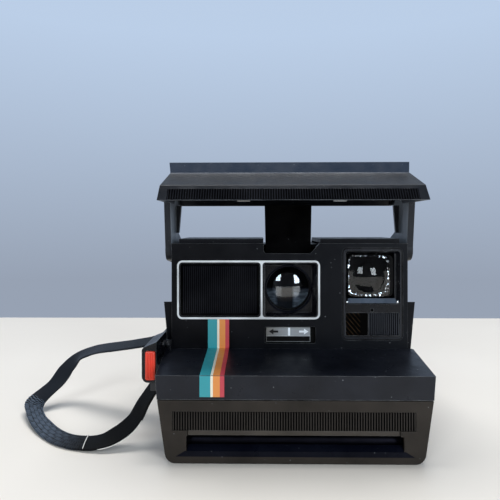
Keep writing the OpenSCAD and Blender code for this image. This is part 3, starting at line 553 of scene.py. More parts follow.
# Painted shade: the rollers' steel is made near-black to stand for the shade inside the exit slot.
SHADED_ROLLER = Metal("roller_painted_shade_steel", (0.006, 0.006, 0.009), 0.42, (0.08, 1.0, 1.0))
SPRING = Metal("spring_steel", (0.60, 0.60, 0.61), 0.35)
TIN = Metal("plated_tin", (0.52, 0.52, 0.54), 0.38)
COPPER = Metal("copper_winding", (0.62, 0.30, 0.14), 0.35, (1.0, 8.0, 1.0))
SILVERED = Metal("silvered_glass", (0.86, 0.88, 0.90), 0.04)
PRISM = Metal("bright_prism_facet", (0.90, 0.95, 0.98), 0.12)
BOARD = Laminate("green_board", (0.02, 0.10, 0.045), (0.10, 0.28, 0.13), 1.6, 0.4)
FILM = Laminate("film_sheet", (0.70, 0.70, 0.66), (0.62, 0.62, 0.58), 4)
BATTERY = Laminate("battery_card", (0.55, 0.52, 0.42), (0.36, 0.34, 0.28), 6)
WEB_UPPER = Webbing("webbing_upper_run", (0.0072, 0.0094, 0.0135), (0.022, 0.027, 0.035), 0.18)
WEB_LOWER = Webbing("webbing_lower_run", (0.0012, 0.0012, 0.0015), (0.004, 0.0045, 0.006), 0.02)
# Painted highlight and shade on the weave: raised faces take the pale crest finish, hollow faces the
# near-black hollow finish.
LIT_WEBBING_CREST = Webbing("webbing_crest_painted_highlight", (0.0640, 0.0840, 0.1150), (0.13, 0.16, 0.20), 0.2, (-118, -96))
WEBBING_HOLLOW_SHADE = Webbing("webbing_hollow_painted_shade", (0.0014, 0.0016, 0.0022), (0.006, 0.008, 0.011), 0.0)
# Painted highlight: a pale finish for beads along the strap's crease and edge.
PALE_HIGHLIGHT = Webbing("strap_painted_highlight", (0.62, 0.60, 0.56), (0.8, 0.78, 0.74), 0.2)

# ---------------------------------------------------------------- mesh making

RIGHT = Vector((1, 0, 0))
FRONT = Vector((0, -1, 0))
UP = Vector((0, 0, 1))


def box(name: str) -> tuple[Vector, Vector]:
    """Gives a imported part's lowest and highest corners, in millimetres."""
    low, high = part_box(name)
    return Vector(low) / MM, Vector(high) / MM


class Shading(Enum):
    """How a piece's faces are shaded, as the angle above which an edge is sharp."""

    FLAT = 0.0
    CRISP = 20.0
    CREASED = 32.0
    SMOOTH = 70.0


@dataclass(frozen=True)
class RibSection:
    """The section of a ribbed plate: two heights above its back face, and shares of the pitch."""

    pitch: float
    crest: float
    groove: float
    share: float
    flank: float = 0.11

    def corners(self, width: float) -> list[tuple[float, float]]:
        """Works out the section's corners.

        Args:
            width: The plate's width.

        Returns:
            Each corner's place across the plate and its height.
        """
        count = max(1, round(width / self.pitch))
        step = width / count
        left, right = 0.5 - self.share / 2, 0.5 + self.share / 2
        rib = ((0.0, self.groove), (left - self.flank, self.groove), (left, self.crest),
               (right, self.crest), (right + self.flank, self.groove))
        return [((i + s) * step, h) for i in range(count) for s, h in rib] + [(width, self.groove)]


@dataclass
class Shell:
    """A mesh in the making: points in millimetres, faces and each face's finish."""

    points: list[Vector] = field(default_factory=list)
    faces: list[tuple[int, ...]] = field(default_factory=list)
    kinds: list[int] = field(default_factory=list)

    def add(self, points: Iterable[Sequence[float]], faces: Iterable[Sequence[int]], kind: int = 0) -> None:
        """Adds points and the faces between them.

        Args:
            points: The points.
            faces: Each face as places in points.
            kind: Which of the piece's finishes the faces have.
        """
        start = len(self.points)
        self.points.extend(Vector(p) for p in points)
        for face in faces:
            self.faces.append(tuple(start + i for i in face))
            self.kinds.append(kind)

    def tube(self, rings: Sequence[Sequence[Sequence[float]]], kind: int = 0, caps: bool = True) -> None:
        """Joins closed rings of the same number of points, one after the other.

        Args:
            rings: The rings.
            kind: Which of the piece's finishes the faces have.
            caps: Whether the two ends are closed.
        """
        n = len(rings[0])
        faces = [
            (i * n + k, i * n + (k + 1) % n, (i + 1) * n + (k + 1) % n, (i + 1) * n + k)
            for i in range(len(rings) - 1)
            for k in range(n)
        ]
        if caps:
            faces.append(tuple(reversed(range(n))))
            faces.append(tuple((len(rings) - 1) * n + k for k in range(n)))
        self.add([p for ring in rings for p in ring], faces, kind)

    def lathe(self, profile: Outline, axis: tuple[float, float], steps: int) -> None:
        """Turns a closed profile about an axis along Y.

        Args:
            profile: Points as distance from the axis and place along Y; a distance of 0 is the axis.
            axis: The axis's place across and its height.
            steps: The number of steps round.
        """
        points: list[Point] = []
        rows: list[list[int]] = []
        for radius, y in profile:
            count = steps if radius > 0 else 1
            rows.append([len(points) + k for k in range(count)])
            for k in range(count):
                a = 2 * math.pi * k / steps
                points.append((axis[0] + radius * math.cos(a), y, axis[1] + radius * math.sin(a)))
        faces: list[tuple[int, ...]] = []
        for near, far in zip(rows, rows[1:] + rows[:1]):
            if len(near) == 1 and len(far) == 1:
                continue
            for k in range(steps):
                a = [near[k % len(near)], near[(k + 1) % len(near)]]
                b = [far[(k + 1) % len(far)], far[k % len(far)]]
                faces.append(tuple(dict.fromkeys(a + b)))
        self.add(points, faces)

    def ribs(self, start: Vector, size: tuple[float, float], section: RibSection, kind: int = 0,
             groove: int | None = None, up: Vector = UP, out: Vector = FRONT) -> None:
        """Adds a plate with even ribs, side by side along X.

        Args:
            start: The plate's corner, on its back face.
            size: The plate's width, and its height along the ribs.
            section: The ribs' section.
            kind: The finish of the crests.
            groove: The finish of the grooves, if it is another one.
            up: The direction along the ribs.
            out: The direction in which they stand out.
        """
        width, height = size
        soft = min(0.35, height / 6)
        corners = section.corners(width)
        rings = []
        for place, h in corners:
            foot = start + RIGHT * place
            low = max(section.groove, h - soft)
            heights = ((0.0, 0.0), (0.0, low), (soft, h), (height - soft, h), (height, low), (height, 0.0))
            rings.append([foot + up * along + out * away for along, away in heights])
        first = len(self.faces)
        self.tube(rings, kind)
        if groove is None:
            return
        for i, (near, far) in enumerate(zip(corners, corners[1:])):
            if min(near[1], far[1]) < section.crest:
                front = first + i * len(rings[0]) + 1
                self.kinds[front:front + 3] = [groove] * 3

    def slab(self, outline: Outline, y0: float, y1: float, soft: float = 0.0) -> None:
        """Adds a flat plate that faces the front, with a softened front edge.

        Args:
            outline: Its corners, across and up, in turn.
            y0: Its front face.
            y1: Its back face.
            soft: The width of the softened edge.
        """
        middle = Vector((sum(p[0] for p in outline), sum(p[1] for p in outline))) / len(outline)
        rings = []
        for y, inset in ((y0, soft), (y0 + 0.3 * soft, 0.3 * soft), (y0 + soft, 0.0), (y1, 0.0)):
            ring = []
            for px, pz in outline:
                away = Vector((px, pz)) - middle
                p = middle + away * max(0.0, 1.0 - inset / max(away.length, 1e-6))
                ring.append((p.x, y, p.y))
            rings.append(ring)
        self.tube(rings if soft > 0 else [rings[0], rings[-1]])

    def piece(self, name: str, body: str, finishes: Sequence[Finish],
              replaces: Sequence[str] = (), shading: Shading = Shading.CREASED) -> bpy.types.Object:
        """Makes the Blender object, dresses it and puts it on its body.

        Args:
            name: The piece's name.
            body: The CAD body that it rides on.
            finishes: Its finishes, in the order of the faces' kinds.
            replaces: The CAD nodes that it stands for.
            shading: How its faces are shaded.

        Returns:
            The object.
        """
        mesh = bpy.data.meshes.new(name)
        mesh.from_pydata([tuple(p * MM) for p in self.points], [], self.faces)
        mesh.validate()
        for finish in finishes:
            mesh.materials.append(finish.material())
        if len(mesh.polygons) == len(self.kinds):
            mesh.polygons.foreach_set("material_index", self.kinds)
        mesh.polygons.foreach_set("use_smooth", [shading is not Shading.FLAT] * len(mesh.polygons))
        if shading is not Shading.FLAT:
            mesh.set_sharp_from_angle(angle=math.radians(shading.value))
        mesh.update()
        turn_outwards(mesh)
        thing = bpy.data.objects.new(name, mesh)
        bpy.context.scene.collection.objects.link(thing)
        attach(thing, body)
        if replaces:
            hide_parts(*replaces)
        LOG.info("%s: %d faces on %s", name, len(mesh.polygons), body)
        return thing


def turn_outwards(mesh: bpy.types.Mesh) -> None:
    """Turns every face of a closed mesh outwards.

    Args:
        mesh: The mesh.
    """
    work = bmesh.new()
    work.from_mesh(mesh)
    bmesh.ops.recalc_face_normals(work, faces=work.faces)
    work.to_mesh(mesh)
    work.free()


def rounded(x0: float, z0: float, x1: float, z1: float, radius: float, steps: int = 6) -> Outline:
    """Works out a rectangle with round corners.

    Args:
        x0: Its left side.
        z0: Its lower side.
        x1: Its right side.
        z1: Its upper side.
        radius: The corners' radius.
        steps: The number of steps round each corner.

    Returns:
        Its points, anticlockwise from the lower right corner.
    """
    corners = ((x1 - radius, z0 + radius, -90), (x1 - radius, z1 - radius, 0),
               (x0 + radius, z1 - radius, 90), (x0 + radius, z0 + radius, 180))
    points = []
    for cx, cz, start in corners:
        for i in range(steps + 1):
            a = math.radians(start + 90 * i / steps)
            points.append((cx + radius * math.cos(a), cz + radius * math.sin(a)))
    return points


def soften(node: bpy.types.Object, width: float) -> None:
    """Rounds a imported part's moulded edges.

    Args:
        node: The part's object.
        width: The width of the rounding.
    """
    weld = node.modifiers.new("join", "WELD")
    weld.merge_threshold = 0.004 * MM
    flat = node.modifiers.new("merge_flats", "DECIMATE")
    flat.decimate_type = "DISSOLVE"
    flat.angle_limit = math.radians(0.4)
    bevel = node.modifiers.new("moulded_edge", "BEVEL")
    bevel.width = width * MM
    bevel.segments = 3
    bevel.limit_method = "ANGLE"
    bevel.angle_limit = math.radians(34)
    bevel.harden_normals = False


@dataclass
class SubAssembly:
    """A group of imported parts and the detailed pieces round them."""

    frame: dict[str, object]

    def dress(self, finish: Finish, *nodes: str, edge: float = 0.0) -> None:
        """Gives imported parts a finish.

        Args:
            finish: The finish.
            nodes: The parts' names.
            edge: The width by which their edges are rounded, or 0.
        """
        for name in nodes:
            node = self.frame["nodes"][name]
            for slot in node.material_slots:
                slot.material = finish.material()
            if edge > 0:
                soften(node, edge)
            LOG.info("%s: %s", name, finish.name)


# ---------------------------------------------------------------- strap


@dataclass
class Strap(SubAssembly):
    """The webbing hand strap: a smooth band with a woven stretch, between its two lugs.

    The route gives points of the band's course with its tilt there in degrees. The woven stretch is
    given by its two ends, counted in route points.
    """

    width: float = 10.0
    thickness: float = 1.4
    step: float = 0.25
    weave: float = 1.3
    relief: float = 0.32
    woven: tuple[float, float] = (8.75, 14.1)
    count: int = 24
    rows_across: int = 5
    route: tuple[tuple[float, float, float, float], ...] = (
        (-63, -25.5, 43.2, 16), (-73, -23, 39.3, 19), (-83, -19.5, 36.8, 20), (-92.5, -15, 34.5, 21),
        (-102, -10, 32.2, 22), (-110, -6, 29.6, 26), (-118, -3.5, 25.9, 28), (-124, -5.5, 20.1, 26),
        (-128.5, -10.5, 12.9, 18), (-136, -19.5, 5.2, 24), (-131.5, -29, 2.7, 22), (-124, -39, 1.8, 8),
        (-115, -48.5, 1.1, 0), (-105, -56.5, 1.4, -5), (-95, -60.5, 1.9, -13), (-86, -62, 3.4, -20),
        (-78.5, -60.5, 6.6, -26), (-72.5, -58.5, 11.5, -24), (-68, -57, 19.5, -24), (-62.5, -56, 28, -23),
    )

    def at(self, place: float) -> Vector:
        """Finds a point of the route.

        Args:
            place: The place along it, counted in route points.

        Returns:
            The point, with the angle of the band as its fourth number.
        """
        last = len(self.route) - 1
        i = min(int(place), last - 1)
        t = place - i
        a, b, c, d = (Vector(self.route[min(max(j, 0), last)]) for j in (i - 1, i, i + 1, i + 2))
        square, cube = 2 * a - 5 * b + 4 * c - d, 3 * b - a - 3 * c + d
        return 0.5 * (2 * b + (c - a) * t + square * t**2 + cube * t**3)

    def frames(self) -> list[Step]:
        """Works out the band's place and directions along the route.

        Returns:
            Each step's place, direction across, face's direction and place in route points.
        """
        places = [0.0]
        while places[-1] < len(self.route) - 1:
            here = places[-1]
            speed = (self.at(here + 0.01) - self.at(here)).to_3d().length / 0.01
            places.append(here + self.step / speed)
        places[-1] = len(self.route) - 1.0
        rows = []
        for p in places:
            ahead = self.at(min(p + 0.02, places[-1])).to_3d() - self.at(max(p - 0.02, 0.0)).to_3d()
            along = ahead.normalized()
            level = along.cross(UP).normalized()
            tilt = math.radians(self.at(p)[3])
            across = level * math.cos(tilt) + level.cross(along) * math.sin(tilt)
            rows.append((self.at(p).to_3d(), across, along.cross(across).normalized(), p))
        return rows

    def ring(self, row: Step, length: float) -> list[Vector]:
        """Works out the band's cross-section at one step.

        Args:
            row: The step's place and directions.
            length: The length of band before it.

        Returns:
            The points of the cross-section, in turn.
        """
        place, across, face, p = row
        ramp = min(1.0, max(0.0, min(p - self.woven[0], self.woven[1] - p) * 8))
        body = self.thickness / 2
        scallop = 0.12 * ramp * math.sin(2 * math.pi * length / self.weave)
        half = self.width / 2 + scallop - 0.2
        points = []
        for side in (-1, 1):
            for k in range(self.count):
                u = (1 - 2 * k / (self.count - 1)) * side
                edge = 1 - 0.45 * max(0.0, (abs(u) - 0.86) / 0.14) ** 2
                rise = ramp * self.relief * self.knit(length, k) * (1 - 0.5 * abs(u))
                rise -= (1 - ramp) * 0.15 * body
                points.append(place + across * u * half - face * side * (body - 0.1 + rise) * edge)
        return points

    def build(self) -> None:
        rows = self.frames()
        lengths = [0.0]
        for a, b in zip(rows, rows[1:]):
            lengths.append(lengths[-1] + (b[0] - a[0]).length)
        band = Shell()
        band.tube([self.ring(row, s) for row, s in zip(rows, lengths)])
        self.shade(band, rows, lengths)
        webbing = [WEB_UPPER, WEB_LOWER, LIT_WEBBING_CREST, WEBBING_HOLLOW_SHADE]
        strap = band.piece("hand_strap", "body", webbing, ["strap"], Shading.SMOOTH)
        # Painted highlights: a pale bead across the band at the crease where the woven stretch ends, and
        # pale beads along the lower run's edge.
        lit_crease_bead = self.bead("strap_crease_painted_highlight", self.across_band(rows, self.woven[1] + 0.02))
        lower = [r for r in rows if 14.9 < r[3] < 17.4]
        lit_edge_points = [r[0] + r[1] * 0.505 * self.width - r[2] * 0.2 for r in lower[::4]]
        thread = self.bead("strap_edge_painted_highlight", lit_edge_points)
        self.dress(WORN, "strap_lug_rear", "strap_lug_front", edge=0.5)

    def knit(self, length: float, k: int) -> float:
        """Gives the weave's height, from -1 to 1, at a length along the band and a place across it."""
        return math.sin(2 * math.pi * length / self.weave + math.pi * (k * self.rows_across // self.count))

    def shade(self, band: Shell, rows: list[Step], lengths: list[float]) -> None:
        """Gives each face of the band its finish; in the woven stretch the raised faces take a painted
        highlight and the hollow faces a painted shade.

        Args:
            band: The band's mesh.
            rows: The band's steps.
            lengths: The length of band before each step.
        """
        n = 2 * self.count
        for i in range(len(rows) - 1):
            p = rows[i][3]
            for k in range(n):
                if not self.woven[0] < p < self.woven[1]:
                    band.kinds[i * n + k] = 0 if p < self.woven[0] else 1
                else:
                    band.kinds[i * n + k] = 2 if self.knit(lengths[i], k % self.count) > 0.3 else 3

    def across_band(self, rows: list[Step], place: float) -> list[Vector]:
        """Finds a slightly curved line across the band's upper face.

        Args:
            rows: The band's steps.
            place: The place in route points.

        Returns:
            The line's points.
        """
        points = []
        for k in range(-6, 7):
            u = k / 6
            row = min(rows, key=lambda r: abs(r[3] - place - 0.16 * u))
            points.append(row[0] + row[1] * u * 0.48 * self.width - row[2] * 0.85)
        return points

    def bead(self, name: str, line: Sequence[Vector]) -> bpy.types.Object:
        """Builds a thin pale bead along a line, a painted highlight.

        Args:
            name: The piece's name.
            line: The line's points.

        Returns:
            The piece.
        """
        last = len(line) - 1
        rings = []
        for i, p in enumerate(line):
            along = (line[min(i + 1, last)] - line[max(i - 1, 0)]).normalized()
            side = along.cross(UP).normalized()
            up = side.cross(along)
            radius = 0.12 if i in (0, last) else 0.24
            turns = [2 * math.pi * k / 8 for k in range(8)]
            rings.append([p + (side * math.cos(a) + up * 0.8 * math.sin(a)) * radius for a in turns])
        bead = Shell()
        bead.tube(rings)
        return bead.piece(name, "body", [PALE_HIGHLIGHT], shading=Shading.SMOOTH)


# ---------------------------------------------------------------- casing


@dataclass
class Casing(SubAssembly):
    """The base, the rear housing, the nose and the lens panel."""

    stripe_x: tuple[float, float] = (-40.3, -29.8)
    stripe_t: float = 0.16
    stripe_bands: tuple[tuple[float, Colour], ...] = (
        (0.44, (0.03, 0.30, 0.34)),
        (0.10, (0.80, 0.76, 0.62)),
        (0.28, (0.72, 0.26, 0.06)),
        (0.18, (0.52, 0.05, 0.07)),
    )

    def build(self) -> None:
        """Dresses the shells, and builds the blank plate and the stripe."""
        self.dress(CASING, "base_shell", edge=0.4)
        self.dress(CASING, "rear_housing", edge=0.5)
        self.dress(SHELF, "shelf_cover", edge=0.7)
        self.dress(PANEL, "front_panel", edge=0.4)
        self.dress(LINE, "lens_frame", edge=0.12)
        self.dress(STEEL, "case_screws")
        self.blank_plate()
        self.stripe()

    def blank_plate(self) -> None:
        """Builds the blank cell's plate, with fine upright ribs inside a narrow rim."""
        lo, hi = box("name_panel")
        rim = 1.1
        size = (hi.x - lo.x - 2 * rim, hi.z - lo.z - 2 * rim)
        plate = Shell()
        plate.slab(rounded(lo.x, lo.z, hi.x, hi.z, 1), lo.y + 0.30, hi.y)
        # The grooves' near-black finish is painted shade.
        plate.ribs(lo + Vector((rim, 0.34, rim)), size, RibSection(1.0, 0.42, 0.02, 0.36), 1, 0)
        plate.piece("ribbed_blank_plate", "body", [SHADED_GROOVE, DARK_CREST], ["name_panel"])

    def stripe(self) -> None:
        """Builds the plain banded sticker, down the panel, over the shelf and down the nose."""
        lo, hi = box("stripe_decal")
        panel = box("front_panel")[0]
        shelf_z = panel.z + 0.6
        nose_z = shelf_z - 2.8
        line = [
            (panel.y, hi.z), (panel.y, shelf_z + 0.5), (panel.y - 0.5, shelf_z),
            (lo.y + 0.9, nose_z + 0.08), (lo.y + 0.35, nose_z - 0.15), (lo.y + 0.2, nose_z - 0.8),
            (lo.y + 0.2, lo.z),
        ]
        sticker = Shell()
        left, right = self.stripe_x
        x0 = left
        for kind, (share, _) in enumerate(self.stripe_bands):
            x1 = x0 + share * (right - left)
            rings = []
            for i, (y, z) in enumerate(line):
                run = Vector(line[min(i + 1, len(line) - 1)]) - Vector(line[max(i - 1, 0)])
                out = Vector((run.y, -run.x)).normalized() * self.stripe_t
                if out.x > 0 or out.y < 0:
                    out = -out
                far_y, far_z = y + out.x, z + out.y
                rings.append([(x0, y, z), (x1, y, z), (x1, far_y, far_z), (x0, far_y, far_z)])
            sticker.tube(rings, kind)
            x0 = x1
        finishes = [Sticker(f"stripe_band_{i + 1}", c) for i, (_, c) in enumerate(self.stripe_bands)]
        sticker.piece("stripe_bands", "body", finishes, ["stripe_decal"])


# ---------------------------------------------------------------- lens


@dataclass
class TakingLens(SubAssembly):
    """The lens in its funnel, with the barrel, the baffle and the shutter behind it."""

    bulge: float = 2.6
    grooves: int = 7

    def build(self) -> None:
        """Dresses the funnel and the shutter, and builds the glass, the baffle and the ring."""
        self.dress(SATIN, "lens_funnel", edge=0.2)
        self.dress(INNER, "lens_barrel", "shutter_plate")
        self.dress(STEEL, "shutter_blade_left", "shutter_blade_right")
        self.dress(COPPER, "solenoid")
        lo, hi = box("taking_lens")
        axis = ((lo.x + hi.x) / 2, (lo.z + hi.z) / 2)
        r = (hi.x - lo.x) / 2
        self.glass(axis, r, lo.y, hi.y)
        self.baffle(axis, r, hi.y)
        self.ring(axis, r, box("lens_funnel")[1].y)

    def glass(self, axis: tuple[float, float], r: float, front: float, back: float) -> None:
        """Builds the front element: a dome of clear glass and a backing coloured with a painted reflection.

        Args:
            axis: The axis's place across and its height.
            r: Its radius.
            front: Its domed face's furthest point.
            back: Its back.
        """
        sphere = (r * r + self.bulge**2) / (2 * self.bulge)
        turns = [math.asin(r / sphere) * i / 22 for i in range(23)]
        dome = [(sphere * math.sin(a), front + sphere * (1 - math.cos(a))) for a in turns]
        rear = [(r, front + self.bulge + 3.0), (0.66 * r, back - 0.9), (0.33 * r, back - 0.2), (0.0, back)]
        element = Shell()
        steps = 96
        element.lathe(dome + rear, axis, steps)
        clear = len(dome) * steps
        element.kinds[clear:] = [1] * (len(element.faces) - clear)
        finishes = [LENS_GLASS, LENS_REFLECTION_BACKING]
        element.piece("front_element", "body", finishes, ["taking_lens"], Shading.SMOOTH)

    def baffle(self, axis: tuple[float, float], r: float, back: float) -> None:
        """Builds the grooved cone and the dark iris behind the glass.

        Args:
            axis: The axis's place across and its height.
            r: The glass's radius.
            back: The back of the glass.
        """
        mouth, throat = r - 0.2, 0.36 * r
        fall = (mouth - throat) / self.grooves
        profile = []
        for i in range(self.grooves):
            radius, y = mouth - fall * i, back + 0.05 + 0.9 * i / self.grooves
            profile += [(radius, y), (radius - 0.55 * fall, y), (radius - 0.55 * fall, y + 0.22)]
        profile += [(throat, back + 1.2), (throat, back + 1.5), (mouth, back + 1.5)]
        cone = Shell()
        cone.lathe(profile, axis, 72)
        cone.piece("baffle_rings", "body", [SATIN])
        front, rear, edge = back + 1.25, back + 1.45, throat - 0.1
        iris = Shell()
        iris.lathe([(0.0, front), (edge, front), (edge, rear), (0.0, rear)], axis, 48)
        iris.piece("iris_disc", "body", [BAND])

    def ring(self, axis: tuple[float, float], r: float, back: float) -> None:
        """Builds the glossy dark ring at the funnel's throat.

        Args:
            axis: The axis's place across and its height.
            r: The glass's radius.
            back: The funnel's back face.
        """
        section = ((0.2, 0.2), (0.2, 1.1), (0.4, 1.45), (0.7, 1.5), (0.9, 1.25), (1.15, 1.15), (1.15, 0.2))
        ring = Shell()
        ring.lathe([(r + away, back - ahead) for away, ahead in section], axis, 96)
        ring.piece("lens_throat_ring", "body", [GLOSSY])


# ---------------------------------------------------------------- viewfinder


@dataclass
class Viewfinder(SubAssembly):
    """The clear finder block, its surround, the photocell window and the ribbed plate."""

    middle: tuple[float, float] = (39.95, 75.65)
    half: float = 10.55
    chamfer: float = 1.3
    dome: tuple[float, float] = (39.9, 75.0)
    dome_radius: float = 14.5
    dome_rise: float = 2.3
    facet_tries: int = 420

    def build(self) -> None:
        """Dresses the surround, the tube and the photocell, and builds the block and its facets."""
        self.dress(SATIN, "viewfinder_surround", edge=0.25)
        self.dress(INNER, "viewfinder_tube", "photocell")
        self.dress(SMOKED, "sensor_window", "eyepiece")
        self.block()
        self.facets()
        self.rim()
        self.sill()
        self.ribbed_plate()

    def square(self, angle: float, half: float) -> float:
        """Gives the distance from the middle to the side of a softened square, at an angle."""
        return half / (abs(math.cos(angle)) ** 9 + abs(math.sin(angle)) ** 9) ** (1 / 9)

    def loop(self, y: float, middle: tuple[float, float], size: Callable[[float], float],
             rim: float = 0.0) -> list[Point]:
        """Works out one closed row of the block's points.

        Args:
            y: The row's depth.
            middle: Its middle, across and up.
            size: Its reach from there at each angle.
            rim: How far it is stretched to the right.

        Returns:
            The points.
        """
        row = []
        for k in range(96):
            a = 2 * math.pi * k / 96
            across = size(a) * math.cos(a)
            stretch = rim * max(0.0, across) / self.half
            row.append((middle[0] + across + stretch, y, middle[1] + size(a) * math.sin(a)))
        return row

    def block(self) -> None:
        """Builds the clear block: a rim, a raised square with a chamfered edge and a dome on it."""
        lo, hi = box("viewfinder_lens")
        front = lo.y + self.dome_rise
        rim = hi.x - 0.2 - self.middle[0] - self.half
        sides = ((hi.y, 0.0, rim), (front + 0.5, 0.0, rim), (front + 0.45, 0.0, 0.0),
                 (front + 0.1, 0.15, 0.0), (front, self.chamfer, 0.0))
        rows = [
            self.loop(y, self.middle, lambda a, half=self.half - inset: self.square(a, half), stretch)
            for y, inset, stretch in sides
        ]
        ball = self.dome_radius
        reach = math.sqrt(ball**2 - (ball - self.dome_rise) ** 2)
        for i in range(14):
            radius = reach * (1 - i / 14)
            depth = ball - math.sqrt(ball**2 - radius**2)
            rows.append(self.loop(lo.y + depth, self.dome, lambda _, radius=radius: radius))
        block = Shell()
        block.tube(rows)
        dark = 3 * len(rows[0])
        block.kinds[:dark] = [1] * dark
        block.kinds[-2] = 1
        finishes = [BLOCK, INNER]
        block.piece("finder_block", "body", finishes, ["viewfinder_lens"], Shading.CRISP)

    def facets(self) -> None:
        """Builds the small bright facets that show through the block's edges and corners."""
        back = box("viewfinder_lens")[1].y
        chance = random.Random(4)
        facets = Shell()
        for _ in range(self.facet_tries):
            a = chance.uniform(0, 2 * math.pi)
            corner = abs(math.sin(2 * a)) ** 4
            low, right = max(0.0, -math.sin(a)), max(0.0, math.cos(a))
            deep = 0.35 + 2.6 * corner * (0.35 + 0.65 * low) * (0.45 + 0.55 * right)
            if chance.random() > 0.16 + 0.55 * low**2 + 0.45 * corner + 0.25 * right**4:
                continue
            reach = self.square(a, self.half - 0.5) - chance.uniform(0, 1) * deep
            y = back - chance.uniform(0.3, 1.2)
            c = Vector((self.middle[0] + reach * math.cos(a), y, self.middle[1] + reach * math.sin(a)))
            n = Vector((chance.gauss(-0.08, 0.24), -0.95, chance.gauss(0.16, 0.2))).normalized()
            turn = chance.uniform(0, math.pi)
            u = n.cross(Vector((math.sin(turn), 0, math.cos(turn)))).normalized()
            v = n.cross(u)
            long, wide = chance.uniform(0.3, 0.95) / 2, chance.uniform(0.18, 0.5) / 2
            corners = ((-1, -1), (1, -0.7), (1, 1), (-1, 0.6))
            top = [c + u * (long * s) + v * (wide * w) for s, w in corners]
            facets.tube([[p + n * 0.06 for p in top], top])
        facets.piece("finder_edge_facets", "body", [PRISM], shading=Shading.FLAT)

    def rim(self) -> None:
        """Builds a near-black ring round the surround as painted shade in its groove, and a bead inside it
        whose lighter colour is a painted highlight.
        """
        lo, hi = box("viewfinder_surround")
        turns = [math.pi * k / 5 - 0.2 for k in range(8)]
        # The ring is near-black painted shade; the bead's lighter colour is a painted highlight.
        for name, finish, grow, radius, lift in (
            ("surround_groove_shade", SHADED_GROOVE, 0.10, 0.30, 0.08),
            ("surround_bead", LIT_CREST, -0.95, 0.26, 0.05),
        ):
            line = rounded(lo.x - grow, lo.z - grow, hi.x + grow, hi.z + grow, 2.4 + grow, 8)
            rings = []
            for i, (px, pz) in enumerate(line):
                run = (Vector(line[(i + 1) % len(line)]) - Vector(line[i - 1])).normalized() * radius
                rings.append([
                    (px + run.y * math.cos(a), lo.y - lift * math.sin(a) + 0.04, pz - run.x * math.cos(a))
                    for a in turns
                ])
            bead = Shell()
            bead.tube(rings + rings[:1], caps=False)
            bead.piece(name, "body", [finish], shading=Shading.SMOOTH)

    def sill(self) -> None:
        """Builds the sill's navy facing, which is painted light from the blue backdrop, the two bright tabs
        at its ends and a small black square below as the painted shade of a hole.
        """
        lo, hi = box("viewfinder_surround")
        y, x0, x1 = lo.y, lo.x + 2.4, hi.x - 2.0
        foot, top, slope = 62.35, 64.5, 0.82
        # Painted light: the navy facing stands for the backdrop's light on the sill.
        outline = [(x0, foot), (x1, foot), (x1 - 1.4, top), (x0 + 0.7, top)]
        sill = Shell()
        sill.tube([[(px, y + (pz - foot) * slope + d, pz) for px, pz in outline] for d in (0.18, 0.34)])
        sill.piece("finder_sill", "body", [LIT_SILL], shading=Shading.FLAT)
        tabs = Shell()
        for tx in (x0 - 0.1, x1 - 0.5):
            tab = rounded(tx - 0.45, foot + 0.1, tx + 0.45, foot + 1.0, 0.25, 3)
            tabs.slab(tab, y + 0.05, y + 0.5, soft=0.2)
        tabs.piece("finder_sill_tabs", "body", [PRISM])
        # Painted shade: a black square plate stands for the shade in a small hole.
        left, low, right, high = 40.25, 58.25, 41.55, 59.55
        hole = Shell()
        hole.slab([(left, low), (right, low), (right, high), (left, high)], y + 0.15, y + 0.4)
        hole.piece("surround_pinhole_shade", "body", [SHADED_GROOVE], shading=Shading.FLAT)

    def ribbed_plate(self) -> None:
        """Builds the plate beside the photocell window, with fine upright ribs."""
        lo, hi = box("sensor_grille")
        thick = hi.y - lo.y
        plate = Shell()
        section = RibSection(1.0, thick, thick - 0.45, 0.42)
        plate.ribs(Vector((lo.x, hi.y, lo.z)), (hi.x - lo.x, hi.z - lo.z), section, 0, 1)
        # Crests take a lighter finish as a painted highlight, grooves a near-black one as painted shade.
        plate.piece("ribbed_sensor_plate", "body", [LIT_CREST, SHADED_GROOVE], ["sensor_grille"])


# ---------------------------------------------------------------- controls


